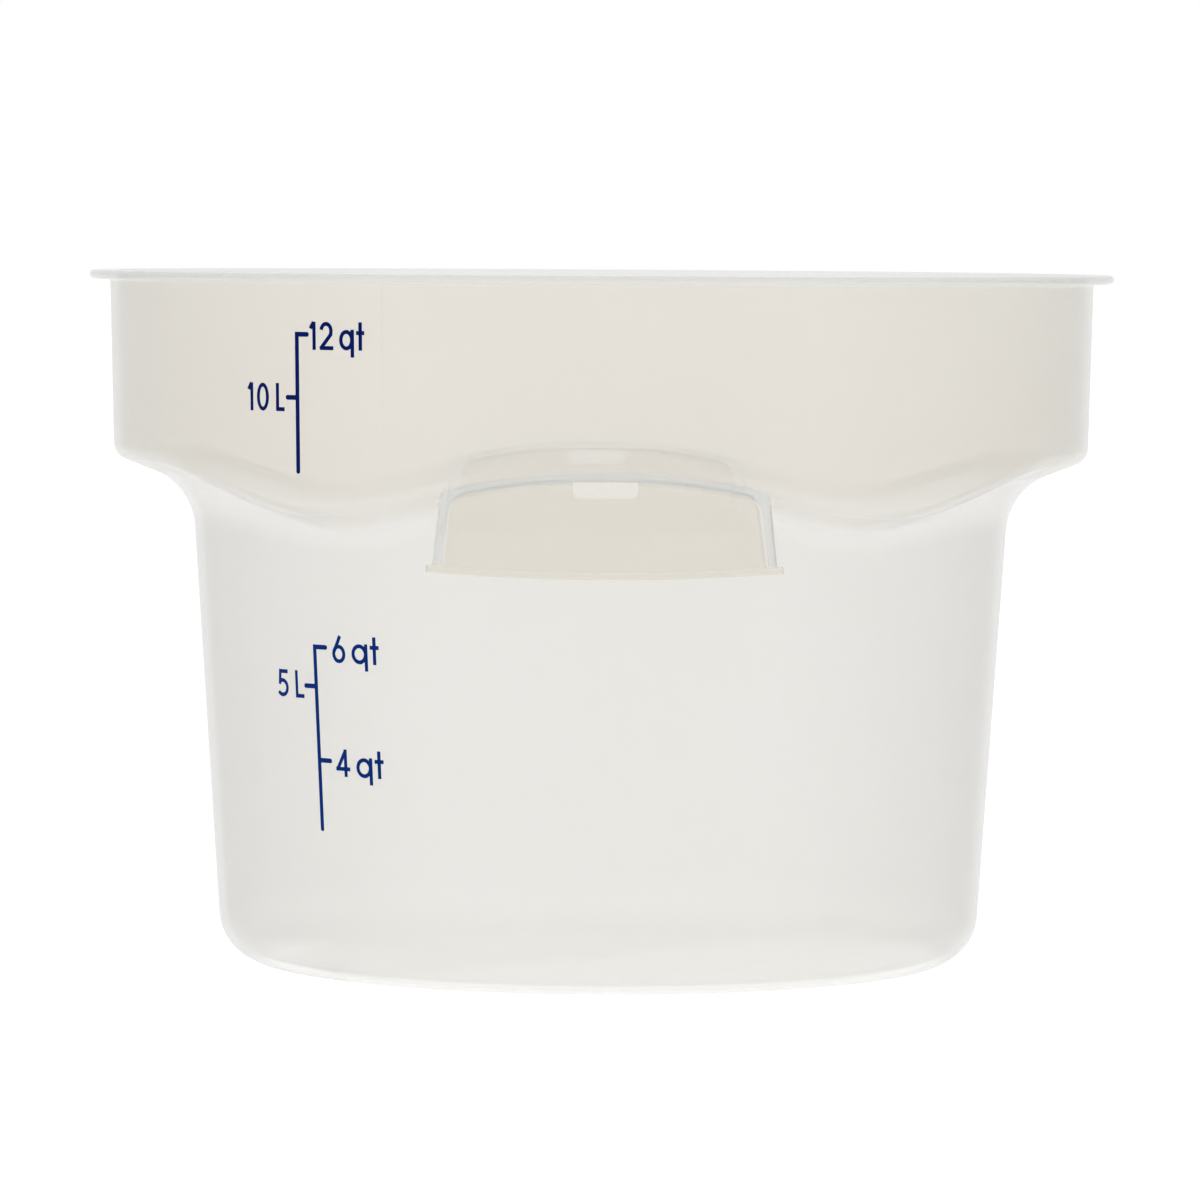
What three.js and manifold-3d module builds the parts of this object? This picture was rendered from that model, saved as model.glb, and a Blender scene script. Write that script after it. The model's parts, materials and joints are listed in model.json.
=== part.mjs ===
// Round food storage tub: a translucent moulding with a tapered lower wall, a wavy shoulder, a wide
// upper band, a rim flange, two moulded grips and printed volume scales.
// Millimetres, +Z up. The origin is the centre of the base, and the front grip faces -Y.
// An azimuth is an angle about +Z, counted from the front towards +X.
import * as THREE from 'three';
import { mergeVertices } from 'three/addons/utils/BufferGeometryUtils.js';
import Module from 'manifold-3d';

const { degToRad, lerp } = THREE.MathUtils;

// Overall
const height = 225; // base to rim top
const wall = 2.5; // moulded wall thickness
const seam = 0.3; // clearance between solids that meet on a curved face
const ringSegments = 72; // facets round a full ring
const arcSteps = 5; // facets along each rounded corner

// Base and lower wall
const baseRadius = 123.1; // lower wall's outer line, carried down to the base plane
const wallDraft = degToRad(3.78);
const baseCornerRadius = 16.5;
const baseCornerMargin = 1.5; // straight wall kept above the rounded corner
const floorThickness = 2.6;
const standingRingWidth = 9; // flat ring that the tub stands on
const baseRecess = 0.8; // hollow under the floor, inside that ring
const baseRecessRamp = 2; // width of the slope between ring and hollow

// Rim flange and upper band
const rimRadius = 166.7;
const rimThickness = 2.8;
const rimOverhang = 6.5; // flange past the band's outer face
const rimEdgeRound = 1.1;
const bandDraft = degToRad(1.39);

// Shoulder: four high arches (front, right, rear, left) between four low ledges. A drop is from the rim
// top to the band's lower edge, a slope is the shoulder's fall towards the lower wall, and a fillet is
// the hollow between shoulder and lower wall.
const sideArch = { drop: 61.1, slope: degToRad(21.3), fillet: 21 };
const gripArch = { drop: 62.8, slope: degToRad(2), fillet: 2 }; // flat roof over the fingers
const ledge = { drop: 75.1, slope: degToRad(14), fillet: 10 };
const bandCornerRadius = 5.5;
const ledgeAzimuth = degToRad(35); // each ledge, from the nearest grip's centre
const ledgeFade = degToRad(31); // from a ledge to the level top of an arch
const shoulderMargin = 1.5; // straight wall kept above and below the shoulder

// Grips, hung from the band's lower edge at the front and rear arches
const gripPanel = 3; // panel thickness
const gripCheek = 3; // side wall thickness
const gripHeight = 25.7; // band edge to the panel's lower edge at its ends
const gripTopHalfWidth = 50; // at the band edge
const gripBottomHalfWidth = 53; // at the lower edge
const gripBow = 1.7; // how much lower the lower edge is at mid span
const gripBead = 2.2; // height of the finger bead
const gripBeadStand = 1; // bead past the panel's outer face
const gripBeadEnd = 1.2; // bead past the panel at each end
const drainWidth = 20;
const drainHeight = 5;
const drainRound = 1.8;
const drainGap = 0.6; // band edge to the drain slot's top

// Printed scales: a share is a height on the straight face that carries the scale, 0 at its foot and
// 1 at its head, a stretch narrows a scale's lettering, and a drop is from a tick to its text's middle
const inkThickness = 0.2;
const inkLine = 1.5; // stems and ticks
const inkStroke = 1.25; // figures and letters
const figureHeight = 8.7;
const letterGap = 1.2;
const wordGap = 2.5;
const tickLength = 5.5;
const upperScale = {
  name: 'upper',
  azimuth: degToRad(-36.55),
  footShare: 0.131,
  stretch: 0.85,
  marks: [
    { text: '12 qt', share: 0.762, side: 1, gap: 0.15, drop: 0.4 },
    { text: '10 L', share: 0.471, side: -1, gap: 0.5, drop: 0 },
  ],
};
const lowerScale = {
  name: 'lower',
  azimuth: degToRad(-43.95),
  footShare: 0.273,
  stretch: 1,
  marks: [
    { text: '6 qt', share: 0.762, side: 1, gap: 2.1, drop: 0.4 },
    { text: '5 L', share: 0.656, side: -1, gap: 0.15, drop: -0.3 },
    { text: '4 qt', share: 0.458, side: 1, gap: 1.7, drop: 0.4 },
  ],
};

// Figures and letters as strokes in a box 1 wide and 1 high: bar [u, v, u, v] from end to end,
// bow [u, v, half width, half height, from, to] round a centre, anticlockwise in degrees.
// Width is the printed width, and lead is extra room before the letter.
const glyphs = {
  0: { width: 6, lead: 0.7, bars: [], bows: [[0.5, 0.5, 0.5, 0.5, 0, 360]] },
  1: { width: 2.9, lead: 0, bars: [[1, 0, 1, 1], [0.1, 0.87, 0.6, 1]], bows: [] },
  2: {
    width: 6.1,
    lead: 0.4,
    bars: [[0.9, 0.55, 0.05, 0.03], [0.05, 0, 1, 0]],
    bows: [[0.49, 0.71, 0.46, 0.29, -32, 172]],
  },
  4: {
    width: 5.8,
    lead: 0,
    bars: [[0.74, 0, 0.74, 1], [0, 0.25, 1, 0.25], [0.7, 0.97, 0.04, 0.27]],
    bows: [],
  },
  5: {
    width: 5.5,
    lead: 0,
    bars: [[0.2, 1, 0.95, 1], [0.2, 1, 0.12, 0.52]],
    bows: [[0.42, 0.31, 0.58, 0.31, -145, 128]],
  },
  6: { width: 5.4, lead: 0, bars: [[0.06, 0.42, 0.6, 1]], bows: [[0.5, 0.31, 0.5, 0.31, 0, 360]] },
  q: { width: 6.3, lead: 0, bars: [[1, -0.29, 1, 0.69]], bows: [[0.48, 0.34, 0.48, 0.34, 0, 360]] },
  t: { width: 3.4, lead: -0.3, bars: [[0.5, 0, 0.5, 1], [0, 0.64, 1, 0.64]], bows: [] },
  L: { width: 4.1, lead: 1, bars: [[0, 0, 0, 1], [0, 0, 1, 0]], bows: [] },
};

// Levels and radii worked out from the sizes above
const rimUnderside = height - rimThickness;
const bandTopRadius = rimRadius - rimOverhang;
const wallAcross = wall / Math.cos(wallDraft); // wall thickness measured level
const bandAcross = wall / Math.cos(bandDraft);
const baseCornerTop = baseCornerRadius + baseCornerMargin;
const rimRound = Math.min(rimEdgeRound, 0.45 * rimThickness);
const bandEdge = height - gripArch.drop; // band's lower edge over a grip
const gripLow = bandEdge - gripHeight;

const plastic = { color: 0xe3e1d8, roughness: 0.45, metalness: 0 };
const ink = { color: 0x10206e, roughness: 0.6, metalness: 0 };

const wasm = await Module();
wasm.setup();

/** Outer radius of the lower wall at a level. */
function wallRadius(level) {
  return baseRadius + level * Math.tan(wallDraft);
}

/** Outer radius of the upper band at a level. */
function bandRadius(level) {
  return bandTopRadius - (rimUnderside - level) * Math.tan(bandDraft);
}

/** Unit normal of an outer face that leans outwards by an angle: 0 is level, 90 degrees faces down. */
function faceNormal(lean) {
  return new THREE.Vector2(Math.cos(lean), -Math.sin(lean));
}

/** Points on an arc about a centre, for face leans from one to another; a negative radius is a hollow. */
function arcPoints(centre, radius, from, to) {
  const points = [];
  for (let i = 0; i <= arcSteps; i++) {
    const normal = faceNormal(lerp(from, to, i / arcSteps));
    points.push({ at: centre.clone().addScaledVector(normal, radius), normal });
  }
  return points;
}

/** Turns a section point (radius, level) at an azimuth into a point in space. */
function placed(point, azimuth) {
  return new THREE.Vector3(point.x * Math.sin(azimuth), -point.x * Math.cos(azimuth), point.y);
}

/** Makes an index-only geometry from a list of points and a list of triangles. */
function facetedGeometry(points, triangles) {
  const geometry = new THREE.BufferGeometry().setFromPoints(points);
  geometry.setIndex(triangles);
  geometry.computeVertexNormals();
  return geometry;
}

/** Ring of a closed section of [radius, level] pairs, given anticlockwise. */
function ring(section) {
  const points = section.map(([radius, level]) => new THREE.Vector2(radius, level));
  return new THREE.LatheGeometry([...points, points[0]], ringSegments).rotateX(Math.PI / 2);
}

/** Solid swept between two azimuths. Each section is a list of [outer, inner] pairs, bottom to top. */
function sector(sectionAt, from, to) {
  const steps = Math.ceil(((to - from) / (2 * Math.PI)) * ringSegments);
  const points = [];
  const triangles = [];
  let loop = 0;
  for (let i = 0; i <= steps; i++) {
    const azimuth = lerp(from, to, i / steps);
    const pairs = sectionAt(azimuth);
    const outline = [...pairs.map((pair) => pair[0]), ...pairs.map((pair) => pair[1]).reverse()];
    loop = outline.length;
    points.push(...outline.map((point) => placed(point, azimuth)));
  }
  for (let i = 0; i < steps; i++) {
    for (let j = 0; j < loop; j++) {
      const a = i * loop + j;
      const b = i * loop + ((j + 1) % loop);
      triangles.push(a, a + loop, b, b, a + loop, b + loop);
    }
  }
  const last = steps * loop;
  for (let j = 0; j < loop / 2 - 1; j++) {
    const inner = loop - 1 - j;
    triangles.push(j, j + 1, inner, inner, j + 1, inner - 1);
    triangles.push(last + j, last + inner, last + j + 1, last + inner, last + inner - 1, last + j + 1);
  }
  return facetedGeometry(points, triangles);
}

/** Solid that can be joined and cut, from a closed geometry. */
function solid(geometry) {
  const bare = geometry.clone();
  bare.deleteAttribute('normal');
  bare.deleteAttribute('uv');
  const merged = mergeVertices(bare, 1e-4);
  return new wasm.Manifold(new wasm.Mesh({
    numProp: 3,
    vertProperties: merged.attributes.position.array,
    triVerts: new Uint32Array(merged.index.array),
  }));
}

/** Geometry of a joined or cut solid. */
function shaped(body) {
  const mesh = body.getMesh();
  const geometry = new THREE.BufferGeometry();
  geometry.setAttribute('position', new THREE.BufferAttribute(mesh.vertProperties, 3));
  geometry.setIndex(new THREE.BufferAttribute(mesh.triVerts, 1));
  geometry.computeVertexNormals();
  return geometry;
}

/** Flat outline (x, z) made solid from y = 0 towards the front by a depth. */
function slab(shape, depth) {
  const options = { depth, bevelEnabled: false, curveSegments: 2 * arcSteps };
  return new THREE.ExtrudeGeometry(shape, options).rotateX(Math.PI / 2);
}

/** Named mesh with its own material. */
function part(name, geometry, finish) {
  const mesh = new THREE.Mesh(geometry, new THREE.MeshStandardMaterial(finish));
  mesh.name = name;
  return mesh;
}

/** Angle from an azimuth to the nearest grip's centre. */
function fromGrip(azimuth) {
  return Math.acos(Math.abs(Math.cos(azimuth)));
}

/** How much of a ledge there is at an azimuth: 1 on a ledge, 0 on the top of an arch. */
function ledgeShare(azimuth) {
  const away = Math.min(Math.abs(fromGrip(azimuth) - ledgeAzimuth) / ledgeFade, 1);
  return Math.cos((away * Math.PI) / 2) ** 2;
}

/** Outer face of the shoulder at an azimuth, from the end of the lower wall to the start of the band. */
function shoulderFace(azimuth) {
  const arch = fromGrip(azimuth) < ledgeAzimuth ? gripArch : sideArch;
  const share = ledgeShare(azimuth);
  const lean = Math.PI / 2 - lerp(arch.slope, ledge.slope, share);
  const under = faceNormal(lean);
  const side = faceNormal(wallDraft);

  // Rounded corner, tangent to the band and to the sloping underside
  const cornerLevel = height - lerp(arch.drop, ledge.drop, share) - under.y * bandCornerRadius;
  const bandTangent = cornerLevel - bandCornerRadius * Math.sin(bandDraft);
  const corner = new THREE.Vector2(
    bandRadius(bandTangent) - bandCornerRadius * Math.cos(bandDraft),
    cornerLevel,
  );
  const edge = corner.clone().addScaledVector(under, bandCornerRadius);

  // Where the wall's line and the underside would meet, and the largest fillet that this corner takes
  const cross = side.x * under.y - side.y * under.x;
  const meet = (wallReach, underReach) => new THREE.Vector2(
    (wallReach * under.y - underReach * side.y) / cross,
    (underReach * side.x - wallReach * under.x) / cross,
  );
  const wallReach = side.x * baseRadius;
  const underReach = under.dot(edge);
  const run = meet(wallReach, underReach).distanceTo(edge);
  const largest = (0.95 * run) / Math.tan((lean - wallDraft) / 2);
  const fillet = Math.min(lerp(arch.fillet, ledge.fillet, share), largest);

  // Centre of the hollow fillet, one fillet radius outside both faces
  const hollow = meet(wallReach + fillet, underReach + fillet);
  return [
    ...arcPoints(hollow, -fillet, wallDraft, lean),
    ...arcPoints(corner, bandCornerRadius, lean, bandDraft),
  ];
}

const ledgeFace = shoulderFace(ledgeAzimuth);
const keyFaces = [shoulderFace(0), ledgeFace, shoulderFace(Math.PI / 2)];
const shoulderFoot = Math.min(...keyFaces.map((face) => face[0].at.y)) - shoulderMargin;
const shoulderHead = Math.max(...keyFaces.map((face) => face.at(-1).at.y)) + shoulderMargin;
const upperFace = {
  radiusAt: bandRadius,
  draft: bandDraft,
  low: ledgeFace.at(-1).at.y,
  high: rimUnderside,
};
const lowerFace = {
  radiusAt: wallRadius,
  draft: wallDraft,
  low: baseCornerTop,
  high: shoulderFoot,
};

/** Section of the shoulder at an azimuth, as [outer, inner] pairs. */
function shoulderSection(azimuth) {
  const levelPair = (radius, across, level) => [
    new THREE.Vector2(radius, level),
    new THREE.Vector2(radius - across, level),
  ];
  return [
    levelPair(wallRadius(shoulderFoot), wallAcross, shoulderFoot),
    ...shoulderFace(azimuth).map(({ at, normal }) => [at, at.clone().addScaledVector(normal, -wall)]),
    levelPair(bandRadius(shoulderHead), bandAcross, shoulderHead),
  ];
}

/** Floor, rounded corner, lower wall, upper band and rim flange, each a ring about the axis. */
function rings() {
  const outerCorner = new THREE.Vector2(
    wallRadius(baseCornerRadius) - baseCornerRadius / Math.cos(wallDraft),
    baseCornerRadius,
  );
  const innerRound = baseCornerRadius - wall;
  const innerLevel = floorThickness + innerRound;
  const innerCorner = new THREE.Vector2(
    wallRadius(innerLevel) - wallAcross - innerRound / Math.cos(wallDraft),
    innerLevel,
  );
  const pair = ({ at }) => [at.x, at.y];
  const outerArc = arcPoints(outerCorner, baseCornerRadius, Math.PI / 2, wallDraft).map(pair);
  const innerArc = arcPoints(innerCorner, innerRound, wallDraft, Math.PI / 2).map(pair);
  const floorRadius = outerCorner.x;
  const recessRadius = floorRadius - standingRingWidth;

  const floor = new THREE.LatheGeometry([
    new THREE.Vector2(0, baseRecess),
    new THREE.Vector2(recessRadius - baseRecessRamp, baseRecess),
    new THREE.Vector2(recessRadius, 0),
    new THREE.Vector2(floorRadius, 0),
    new THREE.Vector2(innerCorner.x, floorThickness),
    new THREE.Vector2(0, floorThickness),
  ], ringSegments).rotateX(Math.PI / 2);

  const baseCorner = ring([
    ...outerArc,
    [wallRadius(baseCornerTop), baseCornerTop],
    [wallRadius(baseCornerTop) - wallAcross, baseCornerTop],
    ...innerArc,
  ]);
  const lowerWall = ring([
    [wallRadius(baseCornerTop), baseCornerTop],
    [wallRadius(shoulderFoot), shoulderFoot],
    [wallRadius(shoulderFoot) - wallAcross, shoulderFoot],
    [wallRadius(baseCornerTop) - wallAcross, baseCornerTop],
  ]);
  const upperBand = ring([
    [bandRadius(shoulderHead), shoulderHead],
    [bandRadius(rimUnderside), rimUnderside],
    [bandRadius(rimUnderside) - bandAcross, rimUnderside],
    [bandRadius(shoulderHead) - bandAcross, shoulderHead],
  ]);
  const edgeLow = new THREE.Vector2(rimRadius - rimRound, rimUnderside + rimRound);
  const edgeHigh = new THREE.Vector2(rimRadius - rimRound, height - rimRound);
  const rimFlange = ring([
    [bandRadius(rimUnderside) - bandAcross, rimUnderside],
    ...arcPoints(edgeLow, rimRound, Math.PI / 2, 0).map(pair),
    ...arcPoints(edgeHigh, rimRound, 0, -Math.PI / 2).map(pair),
    [bandRadius(height) - bandAcross, height],
  ]);
  return [
    part('floor_disc', floor, plastic),
    part('base_corner', baseCorner, plastic),
    part('lower_wall', lowerWall, plastic),
    part('upper_band', upperBand, plastic),
    part('rim_flange', rimFlange, plastic),
  ];
}

/** Four shoulder sections, from ledge to ledge. */
function shoulder() {
  const grip = sector(shoulderSection, -ledgeAzimuth, ledgeAzimuth);
  const side = sector(shoulderSection, ledgeAzimuth, Math.PI - ledgeAzimuth);
  const turned = (name, geometry, turn) => {
    const mesh = part(name, geometry, plastic);
    mesh.rotation.z = turn;
    return mesh;
  };
  return [
    turned('shoulder_front', grip, 0),
    turned('shoulder_right', side, 0),
    turned('shoulder_rear', grip, Math.PI),
    turned('shoulder_left', side, Math.PI),
  ];
}

/** Solids that shape a grip: the room that the tub takes, and shells about the axis. */
function gripShells() {
  const lowest = gripLow - gripBow - gripBead - shoulderMargin;
  const core = baseRadius / 2;
  const tub = sector((azimuth) => {
    const face = shoulderFace(azimuth).map(({ at, normal }) => at.clone().addScaledVector(normal, seam));
    const low = new THREE.Vector2(wallRadius(lowest) + seam, lowest);
    const high = new THREE.Vector2(bandRadius(shoulderHead) + seam, shoulderHead);
    return [low, ...face, high].map((point) => [point, new THREE.Vector2(core, point.y)]);
  }, -ledgeAzimuth, ledgeAzimuth);
  const shell = (outerPast, thickness) => solid(sector(() => [lowest, shoulderHead].map((level) => [
    new THREE.Vector2(bandRadius(level) + outerPast, level),
    new THREE.Vector2(bandRadius(level) + outerPast - thickness, level),
  ]), -ledgeAzimuth, ledgeAzimuth));
  return {
    tub: solid(tub),
    panel: shell(0, gripPanel),
    bead: shell(gripBeadStand, gripPanel + gripBeadStand),
    pocket: shell(-gripPanel - seam, gripPanel + bandRadius(lowest) - wallRadius(lowest)),
  };
}

/** Half width of a grip at a level: it widens evenly downwards. */
function gripHalfWidth(level) {
  return lerp(gripTopHalfWidth, gripBottomHalfWidth, (bandEdge - level) / gripHeight);
}

/** Outline across a grip between a bowed lower edge and an upper edge. */
function bowedOutline(halfLow, low, halfHigh, high, highBow) {
  const shape = new THREE.Shape();
  shape.moveTo(-halfLow, low);
  shape.quadraticCurveTo(0, low - 2 * gripBow, halfLow, low);
  shape.lineTo(halfHigh, high);
  shape.quadraticCurveTo(0, high - 2 * highBow, -halfHigh, high);
  shape.closePath();
  return shape;
}

/** Rounded outline of the drain slot. */
function drainOutline() {
  const half = drainWidth / 2;
  const top = bandEdge - drainGap;
  const low = top - drainHeight;
  const shape = new THREE.Shape();
  shape.moveTo(-half, top);
  shape.lineTo(-half, low + drainRound);
  shape.absarc(-half + drainRound, low + drainRound, drainRound, Math.PI, 1.5 * Math.PI);
  shape.absarc(half - drainRound, low + drainRound, drainRound, 1.5 * Math.PI, 2 * Math.PI);
  shape.lineTo(half, top);
  shape.closePath();
  return shape;
}

/** Outline of the cheek on one side: a strip that leans with the grip's flared side. */
function cheekOutline(side) {
  const shape = new THREE.Shape();
  shape.moveTo(side * gripHalfWidth(gripLow), gripLow);
  shape.lineTo(side * gripHalfWidth(shoulderHead), shoulderHead);
  shape.lineTo(side * (gripHalfWidth(shoulderHead) - gripCheek), shoulderHead);
  shape.lineTo(side * (gripHalfWidth(gripLow) - gripCheek), gripLow);
  shape.closePath();
  return shape;
}

/** Geometries of one grip: panel with its drain slot, two cheeks and the finger bead. */
function gripGeometries() {
  const { tub, panel, bead, pocket } = gripShells();
  const through = (outline) => solid(slab(outline, rimRadius));
  const beadTop = gripLow - seam;
  const beadHalf = gripBottomHalfWidth + gripBeadEnd;
  const headHalf = gripHalfWidth(shoulderHead);
  const panelOutline = bowedOutline(gripBottomHalfWidth, gripLow, headHalf, shoulderHead, 0);
  const beadOutline = bowedOutline(beadHalf, beadTop - gripBead, beadHalf, beadTop, gripBow);
  const cheek = (side) => shaped(pocket.intersect(through(cheekOutline(side))).subtract(tub));
  return {
    panel: shaped(panel.intersect(through(panelOutline)).subtract(through(drainOutline())).subtract(tub)),
    left_cheek: cheek(-1),
    right_cheek: cheek(1),
    bead: shaped(bead.intersect(through(beadOutline))),
  };
}

/** Front and rear grips, alike and half a turn apart. */
function grips() {
  const geometries = Object.entries(gripGeometries());
  return ['front', 'rear'].map((end, index) => {
    const group = new THREE.Group();
    group.rotation.z = index * Math.PI;
    group.add(...geometries.map(([name, geometry]) => part(`${end}_grip_${name}`, geometry, plastic)));
    return group;
  });
}

/** Straight stroke between two points, with square ends half a line past them. */
function barStroke(from, to, line) {
  const along = to.clone().sub(from).setLength(line / 2);
  const across = new THREE.Vector2(-along.y, along.x);
  const start = from.clone().sub(along);
  const end = to.clone().add(along);
  return new THREE.Shape([
    start.clone().sub(across),
    end.clone().sub(across),
    end.clone().add(across),
    start.clone().add(across),
  ]);
}

/** Round stroke about a centre, between two angles in degrees. A full turn is a ring. */
function bowStroke(centre, half, from, to, line) {
  const shape = new THREE.Shape();
  const start = degToRad(from);
  const end = degToRad(to);
  const outer = half.clone().addScalar(line / 2);
  const inner = half.clone().subScalar(line / 2);
  shape.absellipse(centre.x, centre.y, outer.x, outer.y, start, end, false);
  if (to - from === 360) {
    shape.holes.push(new THREE.Path().absellipse(centre.x, centre.y, inner.x, inner.y, start, end, true));
  } else {
    shape.absellipse(centre.x, centre.y, inner.x, inner.y, end, start, true);
    shape.closePath();
  }
  return shape;
}

/** Strokes of a figure or letter, from the left end of its baseline. */
function glyphStrokes({ width, bars, bows }, stretch) {
  const room = new THREE.Vector2(width * stretch - inkStroke, figureHeight - inkStroke);
  const spot = (u, v) => new THREE.Vector2(u, v).multiply(room).addScalar(inkStroke / 2);
  const half = (u, v) => new THREE.Vector2(u, v).multiply(room);
  return [
    ...bars.map(([u0, v0, u1, v1]) => barStroke(spot(u0, v0), spot(u1, v1), inkStroke)),
    ...bows.map(([u, v, ru, rv, from, to]) => bowStroke(spot(u, v), half(ru, rv), from, to, inkStroke)),
  ];
}

/** One ink solid from overlapping strokes. */
function inked(strokes) {
  const bodies = strokes.map((stroke) => solid(slab(stroke, inkThickness)));
  return shaped(bodies.reduce((joined, body) => joined.add(body)));
}

/** Level of a share of the straight face that carries a scale. */
function shareLevel(face, share) {
  return lerp(face.low, face.high, share);
}

/** Group standing on an outer face, with x along the face, z up it and -y out of it. */
function faceSpot({ radiusAt, draft }, azimuth, level) {
  const lean = new THREE.Group();
  lean.position.set(0, -radiusAt(level) - seam / 2, level);
  lean.rotation.x = draft;
  const turn = new THREE.Group();
  turn.rotation.z = azimuth;
  turn.add(lean);
  return { turn, lean };
}

/** Stem of a scale with its ticks, as one ink solid. */
function scaleStem({ name, azimuth, footShare, stretch, marks }, face) {
  const topShare = Math.max(...marks.map((mark) => mark.share));
  const rise = (face.high - face.low) / Math.cos(face.draft);
  const point = (along, share) => new THREE.Vector2(along, (share - topShare) * rise);
  const stem = barStroke(point(0, footShare), point(0, topShare), inkLine);
  const tickEnd = tickLength * stretch - inkLine / 2;
  const ticks = marks.map(({ share, side }) => (
    barStroke(point(0, share), point(side * tickEnd, share), inkLine)
  ));
  const spot = faceSpot(face, azimuth, shareLevel(face, topShare));
  spot.lean.add(part(`${name}_scale_stem`, inked([stem, ...ticks]), ink));
  return spot.turn;
}

/** Figures and letters beside one tick, each an ink solid. */
function scaleText({ azimuth, stretch }, { text, share, side, gap, drop }, face) {
  const letters = text.split(' ').flatMap((word, index) => [...word].map((character, place) => {
    const { width, lead } = glyphs[character];
    const before = place > 0 ? letterGap : index * wordGap;
    return { character, before: (before + lead) * stretch, width: width * stretch };
  }));
  const length = letters.reduce((sum, { before, width }) => sum + before + width, 0);
  const level = shareLevel(face, share);
  const printed = new THREE.Group();
  let along = tickLength * stretch + gap;
  if (side < 0) {
    along = -along - length;
  }
  for (const { character, before, width } of letters) {
    along += before;
    const spot = faceSpot(face, azimuth + (along + width / 2) / face.radiusAt(level), level);
    const strokes = glyphStrokes(glyphs[character], stretch);
    const mesh = part(`print_${text.replace(' ', '')}_${character}`, inked(strokes), ink);
    mesh.position.set(-width / 2, 0, -figureHeight / 2 - drop);
    spot.lean.add(mesh);
    printed.add(spot.turn);
    along += width;
  }
  return printed;
}

/** Printed scale: the stem with its ticks, and the text beside each tick. */
function printedScale(scale, face) {
  const printed = new THREE.Group();
  printed.add(scaleStem(scale, face));
  printed.add(...scale.marks.map((mark) => scaleText(scale, mark, face)));
  return printed;
}

const container = new THREE.Group();
container.add(
  ...rings(),
  ...shoulder(),
  ...grips(),
  printedScale(upperScale, upperFace),
  printedScale(lowerScale, lowerFace),
);

export default container;
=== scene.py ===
"""Looks of the round food storage tub: one translucent moulding with two printed volume scales.

Lengths are millimetres in the classes and metres in the meshes. Angles are radians, apart from those of
a glyph's bows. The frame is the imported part's own: +Z up, the front grip faces -Y, and an azimuth is an
angle about +Z from the front to +X.
"""

import json
import logging
import math
from dataclasses import dataclass, field
from enum import Enum
from functools import partial
from typing import Any, Callable

import bpy
from bpy.types import Material, Mesh, Node, NodeSocket, NodeTree, Object, World
from mathutils import Matrix, Vector

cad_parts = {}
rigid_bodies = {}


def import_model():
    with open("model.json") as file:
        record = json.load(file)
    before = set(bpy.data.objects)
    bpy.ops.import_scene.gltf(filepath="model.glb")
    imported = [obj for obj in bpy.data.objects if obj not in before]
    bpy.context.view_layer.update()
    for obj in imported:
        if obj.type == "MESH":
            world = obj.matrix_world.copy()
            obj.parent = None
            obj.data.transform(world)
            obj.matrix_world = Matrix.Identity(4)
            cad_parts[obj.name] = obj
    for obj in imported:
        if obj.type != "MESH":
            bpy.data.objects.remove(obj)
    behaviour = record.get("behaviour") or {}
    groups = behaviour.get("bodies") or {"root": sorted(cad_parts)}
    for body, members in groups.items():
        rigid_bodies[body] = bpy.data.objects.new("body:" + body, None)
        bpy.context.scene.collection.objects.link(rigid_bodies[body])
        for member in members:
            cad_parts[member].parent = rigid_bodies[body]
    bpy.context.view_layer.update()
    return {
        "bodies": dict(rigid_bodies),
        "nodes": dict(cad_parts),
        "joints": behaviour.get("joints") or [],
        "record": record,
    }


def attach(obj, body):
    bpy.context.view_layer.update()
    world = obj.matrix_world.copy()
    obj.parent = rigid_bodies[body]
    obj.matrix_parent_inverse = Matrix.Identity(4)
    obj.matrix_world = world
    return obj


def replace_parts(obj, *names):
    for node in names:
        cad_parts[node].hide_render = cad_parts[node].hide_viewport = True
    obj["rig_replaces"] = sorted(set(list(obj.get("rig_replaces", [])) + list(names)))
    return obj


MM = 0.001
BLACK = (0.0, 0.0, 0.0, 1.0)
WHITE = (1.0, 1.0, 1.0, 1.0)
EDGE_POWER = 5.0
FINE_DETAIL = 3.0
PRINT_MARGIN = 1.5
WELD = 1e-6
FINE_WELD = 1e-7
MATH = "ShaderNodeMath"
RANGE = "ShaderNodeMapRange"
MIX = "ShaderNodeMix"
MIX_SHADER = "ShaderNodeMixShader"
SEPARATE = "ShaderNodeSeparateXYZ"
VECTOR_MATH = "ShaderNodeVectorMath"
log = logging.getLogger("tub")


@dataclass(frozen=True)
class Bend:
    """A shoulder section: drop from the rim top to the band's edge, fall to the wall, hollow fillet."""

    drop: float
    slope: float
    fillet: float


class Key(Enum):
    """Key sections of the shoulder."""

    SIDE_ARCH = Bend(61.1, math.radians(21.3), 21.0)
    GRIP_ARCH = Bend(62.8, math.radians(2.0), 2.0)
    LEDGE = Bend(75.1, math.radians(14.0), 10.0)


class End(Enum):
    """Ends of the tub that carry a grip, as a turn about the axis."""

    FRONT = 0.0
    REAR = math.pi


class Side(Enum):
    """Sides of a scale's stem, seen from outside."""

    LEFT = -1
    RIGHT = 1


def lerp(start: float, stop: float, share: float) -> float:
    """Returns the value a share of the way between two values."""
    return start + (stop - start) * share


def linear(code: str) -> tuple[float, float, float, float]:
    """Turns an sRGB hex colour into linear light.

    Args:
        code: Colour as #RRGGBB.

    Returns:
        Linear red, green, blue and an alpha of 1.
    """
    steps = [int(code[i : i + 2], 16) / 255 for i in (1, 3, 5)]
    red, green, blue = (v / 12.92 if v <= 0.04045 else ((v + 0.055) / 1.055) ** 2.4 for v in steps)
    return red, green, blue, 1.0


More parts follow.
